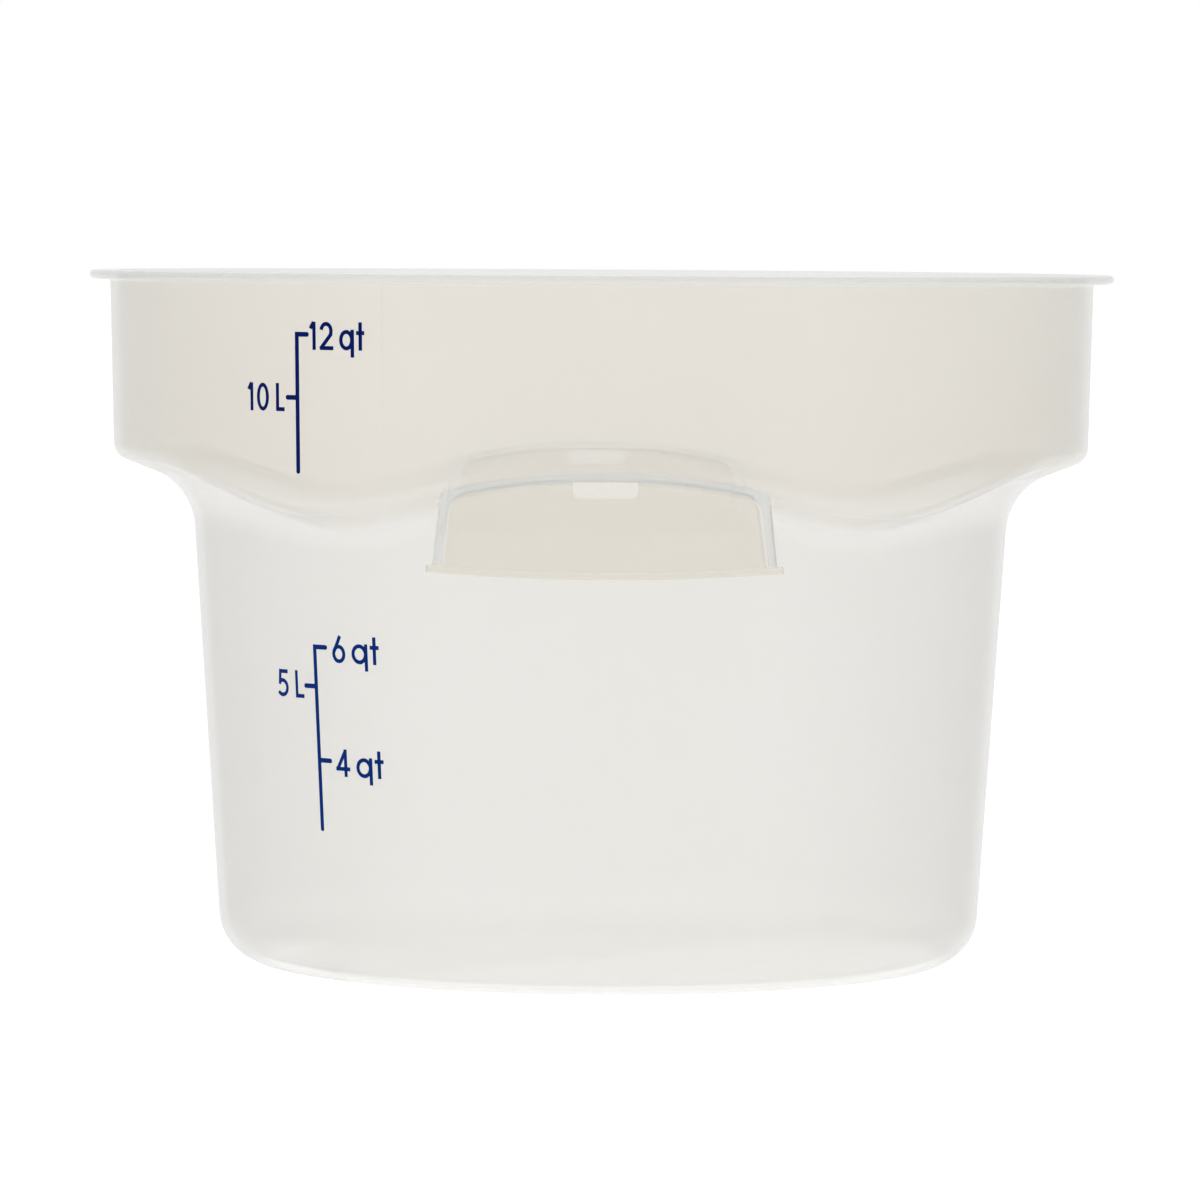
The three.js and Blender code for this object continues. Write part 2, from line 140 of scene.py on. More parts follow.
def add_node(tree: NodeTree, kind: str, inputs: dict | None = None, **settings: Any) -> Node:
    """Adds a node with its settings and links.

    Args:
        tree: Tree that takes the node.
        kind: Blender's name for the node's type.
        inputs: Values, or sockets or nodes to link from, by the input's name or index. A node stands for
            the first of its outputs that is in use.
        **settings: The node's own properties.

    Returns:
        The new node.
    """
    node = tree.nodes.new(kind)
    for name, value in settings.items():
        setattr(node, name, value)
    for name, value in (inputs or {}).items():
        if isinstance(value, Node):
            value = next(socket for socket in value.outputs if socket.enabled)
        if isinstance(value, NodeSocket):
            tree.links.new(value, node.inputs[name])
        else:
            node.inputs[name].default_value = value
    return node


def ramp(value: Any, ends: tuple[float, float], unit: float = MM, top: Any = 1.0) -> dict[str, Any]:
    """Gives the inputs of a Map Range node that rises from 0 between two ends.

    Args:
        value: What is mapped.
        ends: Where the result is 0, and where it is full.
        unit: Unit of the ends.
        top: The full result.

    Returns:
        The inputs by name.
    """
    return {"Value": value, "From Min": ends[0] * unit, "From Max": ends[1] * unit, "To Max": top}


def geometry_tree(name: str, sizes: tuple[str, ...], counts: tuple[str, ...] = ()) -> tuple[NodeTree, Node]:
    """Starts a geometry node tree with a Geometry input, named size inputs and a Material input.

    Args:
        name: Tree's name.
        sizes: Labels of the inputs that are lengths or angles.
        counts: Labels of the inputs that are whole numbers.

    Returns:
        The tree and its group input node.
    """
    tree = bpy.data.node_groups.new(name, "GeometryNodeTree")
    sockets = {
        "Geometry": "NodeSocketGeometry",
        **dict.fromkeys(sizes, "NodeSocketFloat"),
        **dict.fromkeys(counts, "NodeSocketInt"),
        "Material": "NodeSocketMaterial",
    }
    for label, kind in sockets.items():
        tree.interface.new_socket(label, in_out="INPUT", socket_type=kind)
    tree.interface.new_socket("Geometry", in_out="OUTPUT", socket_type="NodeSocketGeometry")
    return tree, tree.nodes.new("NodeGroupInput")


def end_tree(tree: NodeTree, group: Node, made: Node) -> None:
    """Ends a geometry node tree in Realize Instances and Set Material.

    Args:
        tree: Tree to end.
        group: The tree's group input node.
        made: Node with the finished geometry.
    """
    real = add_node(tree, "GeometryNodeRealizeInstances", {"Geometry": made})
    dressed = add_node(
        tree, "GeometryNodeSetMaterial", {"Geometry": real, "Material": group.outputs["Material"]}
    )
    add_node(tree, "NodeGroupOutput", {"Geometry": dressed})


def about_axis(tree: NodeTree, sheet: Node, azimuth: Node, radius: Any, level: Any) -> Node:
    """Moves the points of a mesh to places given about the tub's axis.

    Args:
        tree: Tree that takes the nodes.
        sheet: Node with the mesh.
        azimuth: Node with the azimuth of each point.
        radius: Distance of each point from the axis.
        level: Height of each point.

    Returns:
        Node with the moved mesh.
    """
    turns = [add_node(tree, MATH, {0: azimuth}, operation=name) for name in ("SINE", "COSINE")]
    right, front = (add_node(tree, MATH, {0: radius, 1: turn}, operation="MULTIPLY") for turn in turns)
    rear = add_node(tree, MATH, {0: front, 1: -1.0}, operation="MULTIPLY")
    spot = add_node(tree, "ShaderNodeCombineXYZ", {"X": right, "Y": rear, "Z": level})
    return add_node(tree, "GeometryNodeSetPosition", {"Geometry": sheet, "Position": spot})


def start_nodes(owner: Material | World) -> NodeTree:
    """Gives a material or a world an empty node tree, and returns the tree."""
    owner.use_nodes = True
    owner.node_tree.nodes.clear()
    return owner.node_tree


def new_object(name: str, mesh: Mesh) -> Object:
    """Puts a mesh into the scene as an object at the origin."""
    obj = bpy.data.objects.new(name, mesh)
    bpy.context.scene.collection.objects.link(obj)
    return obj


def settle(obj: Object) -> Object:
    """Turns an object and its modifiers into a plain mesh.

    Args:
        obj: Object whose modifiers are used up.

    Returns:
        The same object.
    """
    bpy.context.view_layer.update()
    graph = bpy.context.evaluated_depsgraph_get()
    mesh = bpy.data.meshes.new_from_object(obj.evaluated_get(graph))
    obj.modifiers.clear()
    old = obj.data
    obj.data = mesh
    bpy.data.meshes.remove(old)
    mesh.name = obj.name
    return obj


def run_tree(obj: Object, tree: NodeTree, values: dict[str, Any]) -> Object:
    """Runs a geometry node tree on an object and keeps the result as a plain mesh.

    Args:
        obj: Object that holds the tree's input geometry.
        tree: Tree to run.
        values: Values of the tree's inputs, by label.

    Returns:
        The same object.
    """
    modifier = obj.modifiers.new(tree.name, "NODES")
    modifier.node_group = tree
    for item in tree.interface.items_tree:
        if item.in_out == "INPUT" and item.name in values:
            modifier[item.identifier] = values[item.name]
    return settle(obj)


def combine(target: Object, tools: list[tuple[str, Object]]) -> Object:
    """Joins solids to a solid, or cuts them from it, and removes them.

    Args:
        target: Solid that is kept.
        tools: Operation and solid of each step, in order.

    Returns:
        The target.
    """
    for operation, tool in tools:
        modifier = target.modifiers.new(tool.name, "BOOLEAN")
        modifier.operation = operation
        modifier.solver = "MANIFOLD"
        modifier.object = tool
        tool.hide_render = True
    settle(target)
    for _, tool in tools:
        bpy.data.objects.remove(tool)
    return target


def face_normal(lean: float) -> Vector:
    """Returns the normal (outwards, up) of a face that leans out by an angle in radians."""
    return Vector((math.cos(lean), -math.sin(lean)))


def arc(centre: Vector, radius: float, start: float, stop: float, steps: int) -> list[Vector]:
    """Returns section points on an arc.

    Args:
        centre: Arc's centre.
        radius: Arc's radius, negative for a hollow.
        start: Face lean at the first point, in radians.
        stop: Face lean at the last point.
        steps: Number of facets.

    Returns:
        The points, both ends among them.
    """
    return [centre + face_normal(lerp(start, stop, i / steps)) * radius for i in range(steps + 1)]


def run(start: Vector, stop: Vector, count: int, guard: float) -> list[Vector]:
    """Returns points between the ends of a straight run, with one close to each end to hold the shading.

    Args:
        start: Run's start, not returned.
        stop: Run's end, not returned.
        count: Number of equal steps between the two guards.
        guard: Distance from an end to its guard.

    Returns:
        The points between.
    """
    along = (stop - start).normalized() * guard
    low, high = start + along, stop - along
    return [low.lerp(high, i / count) for i in range(count + 1)]


def chain_mesh(name: str, points: list[Vector]) -> Mesh:
    """Makes a mesh of a chain of points in space."""
    mesh = bpy.data.meshes.new(name)
    mesh.from_pydata(points, [(i, i + 1) for i in range(len(points) - 1)], [])
    return mesh


def curtain_mesh(name: str, rows: list[list[Vector]], back: float) -> Mesh:
    """Makes a solid between a front sheet and a plane behind it, straight along Y.

    Args:
        name: Mesh's name.
        rows: Front sheet's points in metres, row by row upwards, each from -X to +X.
        back: Plane's Y in metres.

    Returns:
        A closed mesh.
    """
    high, wide = len(rows), len(rows[0])
    front = [point for row in rows for point in row]
    points = front + [Vector((p.x, back, p.z)) for p in front]
    rear = len(front)
    faces = []
    for j in range(high - 1):
        for i in range(wide - 1):
            a, b, c, d = j * wide + i, j * wide + i + 1, (j + 1) * wide + i + 1, (j + 1) * wide + i
            faces.append((a, b, c, d))
            faces.append((rear + d, rear + c, rear + b, rear + a))
    for i in range(wide - 1):
        top = (high - 1) * wide + i
        faces.append((i + 1, i, rear + i, rear + i + 1))
        faces.append((top, top + 1, rear + top + 1, rear + top))
    for j in range(high - 1):
        low, up = j * wide, (j + 1) * wide
        faces.append((low, up, rear + up, rear + low))
        low, up = low + wide - 1, up + wide - 1
        faces.append((up, low, rear + low, rear + up))
    mesh = bpy.data.meshes.new(name)
    mesh.from_pydata(points, [], faces)
    return mesh


@dataclass(frozen=True)
class NaturalPolypropylene:
    """Natural polypropylene, injection moulded in a satin mould.

    The resin is milky: it passes part of the light straight, so the far wall shows faintly, scatters the
    rest both ways, and dims the light a little on its way through. The satin mould leaves a soft gloss with
    a fine orange peel.
    """

    wall: str = "#EAE8E7"
    wall_cloud: str = "#E7E5E3"
    # The band's colours hold painted shade: darker than the wall's, as the band gets less light thrown up
    # off the floor
    band: str = "#E3DFD8"
    band_cloud: str = "#E0DAD1"
    seam: str = "#DCD7CF"
    # Painted shade: the rim is painted greyer than the band
    rim: str = "#DDDEDD"
    clear: str = "#FEFEFD"
    depth: str = "#9CA0A4"
    grip: str = "#EFEAE1"
    # Painted light: the pocket's wall is painted paler to make up for the shade in the pocket
    pocket: str = "#F5F4F4"
    # Painted shade: the blue-grey line of the roof and cheek plates seen through the face
    plate: str = "#D1D5D8"
    clarity: float = 0.7
    grip_clarity: float = 0.62
    plate_clarity: float = 0.62
    forward: float = 0.88
    grip_roof_mm: tuple[float, float] = (162.6, 161.0)
    grip_radius_mm: tuple[float, float] = (148.0, 150.0)
    roof_bend: float = 2.3
    roof_middle_mm: float = 163.6
    cheek_lean: float = 0.111
    cheek_middle_mm: float = 66.4
    cheek_outer_mm: float = 69.2
    plate_half_mm: float = 1.4
    plate_bend_mm: float = 7.5
    plate_foot_mm: float = 136.4
    pocket_edge_mm: tuple[float, float] = (1.4, 3.9)
    pocket_foot_mm: tuple[float, float] = (136.4, 150.4)
    # Share of the pocket's painted light at the rear grip
    rear_pocket_light: float = 0.35
    depth_density: float = 1.5
    # Painted shade of an upright wall seen at a slant
    slant_shade: float = 0.052
    slant_facing: tuple[float, float] = (0.1, 0.8)
    upright_tilt: tuple[float, float] = (0.35, 0.1)
    seam_azimuth: float = math.radians(-25.4)
    seam_half_mm: float = 0.28
    seam_foot_mm: tuple[float, float] = (168.0, 205.0)
    ior: float = 1.49
    gloss: tuple[float, float] = (0.34, 0.46)
    matt_tilt: tuple[float, float] = (1.0, 0.9)
    matt_head_mm: float = 200.0
    cloud_mm: float = 55.0
    cloud_detail: float = 2.0
    cloud_fine: float = 0.45
    peel_mm: float = 1.8
    peel_depth_mm: float = 0.012
    peel_strength: float = 0.5
    shoulder_mm: tuple[float, float] = (136.0, 148.0)
    rim_foot_mm: tuple[float, float] = (221.5, 222.5)

    def material(self) -> Material:
        """Builds the moulding's material.

        Returns:
            The material.
        """
        material = bpy.data.materials.new("natural_polypropylene_satin_moulded")
        tree = start_nodes(material)
        node = partial(add_node, tree)
        coords = node("ShaderNodeTexCoord")
        spot = coords.outputs["Object"]
        place = node(SEPARATE, {"Vector": spot})
        height = place.outputs["Z"]

        # Cloudy flow of the resin, tens of millimetres across
        cloud = node(
            "ShaderNodeTexNoise",
            {
                "Vector": spot,
                "Scale": 1 / (self.cloud_mm * MM),
                "Detail": self.cloud_detail,
                "Roughness": self.cloud_fine,
            },
        )
        wall, band = (
            node(MIX, {"Factor": cloud, 6: linear(one), 7: linear(two)}, data_type="RGBA")
            for one, two in ((self.wall, self.wall_cloud), (self.band, self.band_cloud))
        )
        # The band is painted darker than the lower wall: painted shade, as the band takes less of the light
        # thrown up off the floor
        flat = node(VECTOR_MATH, {0: spot, 1: (1.0, 1.0, 0.0)}, operation="MULTIPLY")
        radius = node(VECTOR_MATH, {0: flat}, operation="LENGTH")
        rise = node(RANGE, ramp(radius, self.shoulder_mm), interpolation_type="SMOOTHSTEP")
        tint = node(MIX, {"Factor": rise, 6: wall, 7: band}, data_type="RGBA")

        # Witness line of the mould, up the band
        across = (math.cos(self.seam_azimuth), math.sin(self.seam_azimuth), 0.0)
        aside = node(VECTOR_MATH, {0: spot, 1: across}, operation="DOT_PRODUCT")
        on_seam = node(MATH, {0: aside, 1: 0.0, 2: self.seam_half_mm * MM}, operation="COMPARE")
        lined = node(RANGE, ramp(height, self.seam_foot_mm, top=on_seam))

        # The rim is thick and stands free, so it looks greyer than the band; its grey is painted shade
        on_rim = node(RANGE, ramp(height, self.rim_foot_mm))
        panel, plate, pocket = self.grip_masks(tree, radius, place)
        # Painted shade on the rim and on the plates behind the grips, painted light on the pockets' walls;
        # the seam line and the panels are the moulding's own colours
        layers = (
            (lined, self.seam),
            (on_rim, self.rim),
            (pocket, self.pocket),
            (panel, self.grip),
            (plate, self.plate),
        )
        for mask, colour in layers:
            tint = node(MIX, {"Factor": mask, 6: tint, 7: linear(colour)}, data_type="RGBA")
        milky = node(RANGE, {"Value": panel, "To Min": self.clarity, "To Max": self.grip_clarity})
        clarity = node(MIX, {"Factor": plate, 2: milky, 3: self.plate_clarity}, data_type="FLOAT")

        # An upright wall seen at a slant is a longer way through the milk, so it looks dimmer. The colour is
        # darkened there: painted shade, which also stands in for the weaker light at the tub's sides
        facing = node("ShaderNodeLayerWeight", {"Blend": 0.5}).outputs["Facing"]
        normal = node(SEPARATE, {"Vector": coords.outputs["Normal"]})
        tilt = node(MATH, {0: normal.outputs["Z"]}, operation="ABSOLUTE")
        slant = node(RANGE, ramp(facing, self.slant_facing, 1.0, self.slant_shade))
        side_shade = node(RANGE, ramp(tilt, self.upright_tilt, 1.0, slant))
        shade, veil = (
            node(MIX, {"Factor": side_shade, 6: tone, 7: BLACK}, data_type="RGBA")
            for tone in (tint, linear(self.clear))
        )

        # Satin of the mould, drawn coarser than the real 0.3 mm so that it shows
        peel = node(
            "ShaderNodeTexNoise", {"Vector": spot, "Scale": 1 / (self.peel_mm * MM), "Detail": FINE_DETAIL}
        )
        relief = node(
            "ShaderNodeBump",
            {"Height": peel, "Strength": self.peel_strength, "Distance": self.peel_depth_mm * MM},
        )
        gloss = node(RANGE, {"Value": cloud, "To Min": self.gloss[0], "To Max": self.gloss[1]})

        front = node(
            "ShaderNodeBsdfPrincipled",
            {"Base Color": shade, "Roughness": gloss, "Specular IOR Level": 0.0, "Normal": relief},
        )
        through = node("ShaderNodeBsdfTranslucent", {"Color": shade, "Normal": relief})
        milk = node(MIX_SHADER, {0: self.forward, 1: front, 2: through})
        clear = node("ShaderNodeBsdfTransparent", {"Color": veil})
        skin = node(MIX_SHADER, {0: clarity, 1: milk, 2: clear})

        # Gloss of the skin, the same from both sides: a few percent straight on, all of it edge on, and
        # none on the floor and the roofs of the grips, which the mould leaves matt
        steep = node(MATH, {0: facing, 1: EDGE_POWER}, operation="POWER")
        straight = ((self.ior - 1) / (self.ior + 1)) ** 2
        shine = node(MATH, {0: steep, 1: 1 - straight, 2: straight}, operation="MULTIPLY_ADD")
        level = node(RANGE, ramp(tilt, self.matt_tilt, 1.0))
        high = node(MATH, {0: height, 1: self.matt_head_mm * MM}, operation="GREATER_THAN")
        smooth = node(MATH, {0: level, 1: high}, operation="MAXIMUM")
        glossy = node(MATH, {0: shine, 1: smooth}, operation="MULTIPLY")
        mirror = node("ShaderNodeBsdfGlossy", {"Roughness": gloss, "Normal": relief})
        surface = node(MIX_SHADER, {0: glossy, 1: skin, 2: mirror})
        depth = node(
            "ShaderNodeVolumeAbsorption", {"Color": linear(self.depth), "Density": self.depth_density}
        )
        node("ShaderNodeOutputMaterial", {"Surface": surface, "Volume": depth})
        return material

    def grip_masks(self, tree: NodeTree, radius: Node, place: Node) -> tuple[Node, Node, Node]:
        """Finds the grips' panels, the plates that stand behind their face and the wall of their pockets.

        Panels cool more slowly in the mould and turn milkier and warmer. A plate that stands edge on behind
        the face shows through it as a blue-grey line, as milky resin scatters blue over a long way; this
        line is painted shade on the face, over the real plate.
        The wall of the pocket is painted paler: painted light that makes up for the shade the panel and
        cheeks cast into the pocket.

        Args:
            tree: Material's tree.
            radius: Distance from the tub's axis.
            place: Object coordinates, separated.

        Returns:
            Nodes that are 1 on a panel, on a plate and on a pocket's wall.
        """
        node = partial(add_node, tree)
        height = place.outputs["Z"]
        outside = node(RANGE, ramp(radius, self.grip_radius_mm))
        width = node(MATH, {0: place.outputs["X"]}, operation="ABSOLUTE")
        square = node(MATH, {0: width, 1: 2.0}, operation="POWER")
        under_roof = node(MATH, {0: square, 1: self.roof_bend, 2: height}, operation="MULTIPLY_ADD")
        upright = node(MATH, {0: height, 1: self.cheek_lean, 2: width}, operation="MULTIPLY_ADD")
        near = node(MATH, {0: upright, 1: self.cheek_outer_mm * MM}, operation="LESS_THAN")
        below = node(RANGE, ramp(under_roof, self.grip_roof_mm))
        here = node(MATH, {0: outside, 1: near}, operation="MULTIPLY")
        panel = node(MATH, {0: here, 1: below}, operation="MULTIPLY")
        # Painted shade: a blue-grey line on the face along the roof and cheek plates behind it
        from_roof = node(MATH, {0: self.roof_middle_mm * MM, 1: under_roof}, operation="SUBTRACT")
        from_cheek = node(MATH, {0: self.cheek_middle_mm * MM, 1: upright}, operation="SUBTRACT")
        from_plate = node(
            MATH, {0: from_roof, 1: from_cheek, 2: self.plate_bend_mm * MM}, operation="SMOOTH_MIN"
        )
        line = node(MATH, {0: from_plate, 1: 0.0, 2: self.plate_half_mm * MM}, operation="COMPARE")
        above = node(MATH, {0: height, 1: self.plate_foot_mm * MM}, operation="GREATER_THAN")
        frame = node(MATH, {0: line, 1: above}, operation="MULTIPLY")
        plate = node(MATH, {0: frame, 1: here}, operation="MULTIPLY")
        # Painted light: the wall inside each pocket is painted paler, fully at the front grip and less at
        # the rear one
        inside = node(MATH, {0: 1.0, 1: outside}, operation="SUBTRACT")
        between = node(RANGE, ramp(from_plate, self.pocket_edge_mm))
        over_bead = node(RANGE, ramp(height, self.pocket_foot_mm))
        hidden = node(MATH, {0: between, 1: over_bead}, operation="MULTIPLY")
        in_front = node(MATH, {0: place.outputs["Y"], 1: 0.0}, operation="LESS_THAN")
        pocket_light_share = node(RANGE, {"Value": in_front, "To Min": self.rear_pocket_light, "To Max": 1.0})
        whole = node(MATH, {0: inside, 1: hidden}, operation="MULTIPLY")
        pocket = node(MATH, {0: whole, 1: pocket_light_share}, operation="MULTIPLY")
        return panel, plate, pocket


@dataclass(frozen=True)
class ScreenInk:
    """Navy screen-printing ink, a flat film with a slightly uneven lay and a dull satin surface.

    The film on the lower wall is thinner, so the white behind it turns it bluer.
    """

    full: str = "#010A4C"
    thin: str = "#021A64"
    lower: str = "#02286E"
    lower_head_mm: float = 130.0
    lay_mm: float = 1.6
    lay_depth_mm: float = 0.01
    lay_strength: float = 0.3
    sheen: float = 0.03
    roughness: tuple[float, float] = (0.42, 0.6)

    def material(self) -> Material:
        """Builds the ink's material.

        Returns:
            The material.
        """
        material = bpy.data.materials.new("navy_screen_ink")
        tree = start_nodes(material)
        node = partial(add_node, tree)
        spot = node("ShaderNodeTexCoord").outputs["Object"]
        lay = node(
            "ShaderNodeTexNoise", {"Vector": spot, "Scale": 1 / (self.lay_mm * MM), "Detail": FINE_DETAIL}
        )
        colour = node(MIX, {"Factor": lay, 6: linear(self.full), 7: linear(self.thin)}, data_type="RGBA")
        height = node(SEPARATE, {"Vector": spot}).outputs["Z"]
        upper = node(MATH, {0: height, 1: self.lower_head_mm * MM}, operation="GREATER_THAN")
        hue = node(MIX, {"Factor": upper, 6: linear(self.lower), 7: colour}, data_type="RGBA")
        dull = node(RANGE, {"Value": lay, "To Min": self.roughness[0], "To Max": self.roughness[1]})
        relief = node(
            "ShaderNodeBump",
            {"Height": lay, "Strength": self.lay_strength, "Distance": self.lay_depth_mm * MM},
        )
        film = node(
            "ShaderNodeBsdfPrincipled",
            {"Base Color": hue, "Roughness": dull, "Specular IOR Level": self.sheen, "Normal": relief},
        )
        node("ShaderNodeOutputMaterial", {"Surface": film})
        return material


@dataclass
class TubShell:
    """The moulded wall: floor, lower wall, wavy shoulder, band and rim, swept round the axis."""

    height: float = 225.0
    wall: float = 2.5
    base_radius: float = 123.1
    wall_draft: float = math.radians(3.78)
    base_corner: float = 16.5
    floor: float = 2.6
    standing_ring: float = 9.0
    recess: float = 0.8
    recess_ramp: float = 2.0
    gate_radius: float = 4.0
    gate_depth: float = 0.35
    rim_radius: float = 166.7
    rim_thickness: float = 2.8
    rim_overhang: float = 6.5
    rim_round: float = 1.1
    rim_fillet: float = 1.0
    band_draft: float = math.radians(1.39)
    band_corner: float = 5.5
    ledge_azimuth: float = math.radians(35.0)
    ledge_fade: float = math.radians(31.0)
    facets: int = 360
    arc_steps: int = 12
    rim_steps: int = 5
    guard: float = 1.2

    @property
    def rim_underside(self) -> float:
        """Level of the rim flange's underside."""
        return self.height - self.rim_thickness

    @property
    def band_edge(self) -> float:
        """Level of the band's lower edge over a grip."""
        return self.height - Key.GRIP_ARCH.value.drop

    def ledge_share(self, azimuth: float) -> float:
        """Share of a ledge at an azimuth: 1 on a ledge, 0 on the level top of an arch."""
        away = abs(math.acos(abs(math.cos(azimuth))) - self.ledge_azimuth)
        return math.cos(min(away / self.ledge_fade, 1.0) * math.pi / 2) ** 2

    def wall_radius(self, level: float) -> float:
        """Outer radius of the lower wall at a level."""
        return self.base_radius + level * math.tan(self.wall_draft)

    def band_radius(self, level: float) -> float:
        """Outer radius of the band at a level."""
        return self.rim_radius - self.rim_overhang - (self.rim_underside - level) * math.tan(self.band_draft)

    def shoulder(self, key: Key, inset: float) -> list[Vector]:
        """Works out a key section of the shoulder's face.

        Args:
            key: Which section.
            inset: Distance inside the outer face.

        Returns:
            Section points from the lower wall up to the band.
        """
        bend = key.value
        lean = math.pi / 2 - bend.slope
        under, side = face_normal(lean), face_normal(self.wall_draft)
        level = self.height - bend.drop - under.y * self.band_corner
        tangent = level - self.band_corner * math.sin(self.band_draft)
        corner = Vector((self.band_radius(tangent) - self.band_corner * math.cos(self.band_draft), level))
        edge = corner + under * self.band_corner
        wall_reach = side.x * self.base_radius + bend.fillet
        under_reach = under.dot(edge) + bend.fillet
        cross = side.x * under.y - side.y * under.x
        hollow = Vector((
            (wall_reach * under.y - under_reach * side.y) / cross,
            (under_reach * side.x - wall_reach * under.x) / cross,
        ))
        return [
            *arc(hollow, -bend.fillet - inset, self.wall_draft, lean, self.arc_steps),
            *arc(corner, self.band_corner - inset, lean, self.band_draft, self.arc_steps),
        ]

    def section(self, key: Key) -> list[Vector]:
        """Works out a key section of the whole wall.

        Args:
            key: Which section.

        Returns:
            Section points (radius, level) from the axis under the floor, up the outside, over the rim and
            down the inside to the axis on the floor.
        """
        quarter, steps = math.pi / 2, self.arc_steps
        across = self.wall / math.cos(self.wall_draft)
        band_across = self.wall / math.cos(self.band_draft)
        foot = Vector((
            self.wall_radius(self.base_corner) - self.base_corner / math.cos(self.wall_draft),
            self.base_corner,
        ))
        bend = self.base_corner - self.wall
        inner_level = self.floor + bend
        inner_foot = Vector((
            self.wall_radius(inner_level) - across - bend / math.cos(self.wall_draft),
            inner_level,
        ))
        ring = foot.x - self.standing_ring
        ramp_head = Vector((ring - self.recess_ramp, self.recess))
        under = [
            Vector((0.0, self.recess + self.gate_depth)),
            Vector((self.gate_radius, self.recess + self.gate_depth)),
            Vector((self.gate_radius + 2 * self.gate_depth, self.recess)),
            *run(Vector((self.gate_radius, self.recess)), ramp_head, count=6, guard=1.5),
            ramp_head,
            Vector((ring, 0.0)),
            *run(Vector((ring, 0.0)), Vector((foot.x, 0.0)), count=2, guard=0.6),
        ]
        outer_foot = arc(foot, self.base_corner, quarter, self.wall_draft, steps)
        outer_bend = self.shoulder(key, 0.0)
        joint_level = self.rim_underside - self.rim_fillet
        rim_joint = Vector((
            self.band_radius(joint_level) + self.rim_fillet / math.cos(self.band_draft),
            joint_level,
        ))
        edge = self.rim_radius - self.rim_round
        edge_low = Vector((edge, self.rim_underside + self.rim_round))
        edge_high = Vector((edge, self.height - self.rim_round))
        lip = Vector((
            self.band_radius(self.height) - band_across + self.rim_fillet,
            self.height - self.rim_fillet,
        ))
        rim = [
            *arc(rim_joint, -self.rim_fillet, self.band_draft, quarter, self.rim_steps),
            *arc(edge_low, self.rim_round, quarter, 0.0, self.rim_steps),
            *arc(edge_high, self.rim_round, 0.0, -quarter, self.rim_steps),
            *run(Vector((edge, self.height)), Vector((lip.x, self.height)), count=2, guard=0.4),
            *arc(lip, self.rim_fillet, -quarter, -2 * quarter, self.rim_steps),
        ]
        inner_bend = self.shoulder(key, self.wall)[::-1]
        inner_foot_arc = arc(inner_foot, bend, self.wall_draft, quarter, steps)
        centre = Vector((0.0, self.floor))
        return [
            *under,
            *outer_foot,
            *run(outer_foot[-1], outer_bend[0], 10, self.guard),
            *outer_bend,
            *run(outer_bend[-1], rim[0], 6, self.guard),
            *rim,
            *run(rim[-1], inner_bend[0], 6, self.guard),
            *inner_bend,
            *run(inner_bend[-1], inner_foot_arc[0], 10, self.guard),
            *inner_foot_arc,
            *run(inner_foot_arc[-1], centre, 8, self.guard),
            centre,
        ]

    def heart(self, key: Key, low: float, high: float) -> list[Vector]:
        """Works out a key section of all that lies inside the middle of the wall, between two levels."""
        inset = self.wall / 2
        return [
            Vector((0.0, low)),
            Vector((self.wall_radius(low) - inset, low)),
            *self.shoulder(key, inset),
            Vector((self.band_radius(high) - inset, high)),
            Vector((0.0, high)),
        ]

    @staticmethod
    def tree() -> NodeTree:
        """Builds the tree that sweeps a section round the axis and waves it between arches and ledges.

        Returns:
            A tree whose geometry input is a chain of points with an attribute for each key section.
        """
        tree, group = geometry_tree("wavy_shell", ("Ledge azimuth", "Ledge fade"), ("Facets",))
        node = partial(add_node, tree)
        chain = node("GeometryNodeMeshToCurve", {"Mesh": group.outputs["Geometry"]})
        circle = node("GeometryNodeCurvePrimitiveCircle", {"Resolution": group.outputs["Facets"]})
        along = node("GeometryNodeSplineParameter")
        turn = node(MATH, {0: along, 1: 2 * math.pi}, operation="MULTIPLY")
        path = node(
            "GeometryNodeStoreNamedAttribute",
            {"Geometry": circle, "Name": "azimuth", "Value": turn},
            data_type="FLOAT",
        )
        swept = node("GeometryNodeCurveToMesh", {"Curve": path, "Profile Curve": chain})
        azimuth = node("GeometryNodeInputNamedAttribute", {"Name": "azimuth"}, data_type="FLOAT")

        # Share of a ledge at this azimuth: 1 on a ledge, 0 on the level top of an arch
        away = azimuth
        for operation, other in (
            ("COSINE", 0.0),
            ("ABSOLUTE", 0.0),
            ("ARCCOSINE", 0.0),
            ("SUBTRACT", group.outputs["Ledge azimuth"]),
        ):
            away = node(MATH, {0: away, 1: other}, operation=operation)
        share = away
        for operation, other in (
            ("ABSOLUTE", 0.0),
            ("DIVIDE", group.outputs["Ledge fade"]),
            ("MINIMUM", 1.0),
            ("MULTIPLY", math.pi / 2),
            ("COSINE", 0.0),
            ("POWER", 2.0),
        ):
            share = node(MATH, {0: share, 1: other}, operation=operation)
        grip, side, ledge = (
            node("GeometryNodeInputNamedAttribute", {"Name": name}, data_type="FLOAT_VECTOR")
            for name in ("grip_arch", "side_arch", "ledge")
        )
        beside = node(MATH, {0: away, 1: 0.0}, operation="GREATER_THAN")
        arch = node(MIX, {0: beside, 4: grip, 5: side}, data_type="VECTOR")
        mixed = node(MIX, {0: share, 4: arch, 5: ledge}, data_type="VECTOR")
        point = node(SEPARATE, {"Vector": mixed})
        placed = about_axis(tree, swept, azimuth, point.outputs["X"], point.outputs["Y"])
        closed = node("GeometryNodeMergeByDistance", {"Geometry": placed, "Distance": WELD})
        outward = node("GeometryNodeFlipFaces", {"Mesh": closed})
        end_tree(tree, group, outward)
        return tree

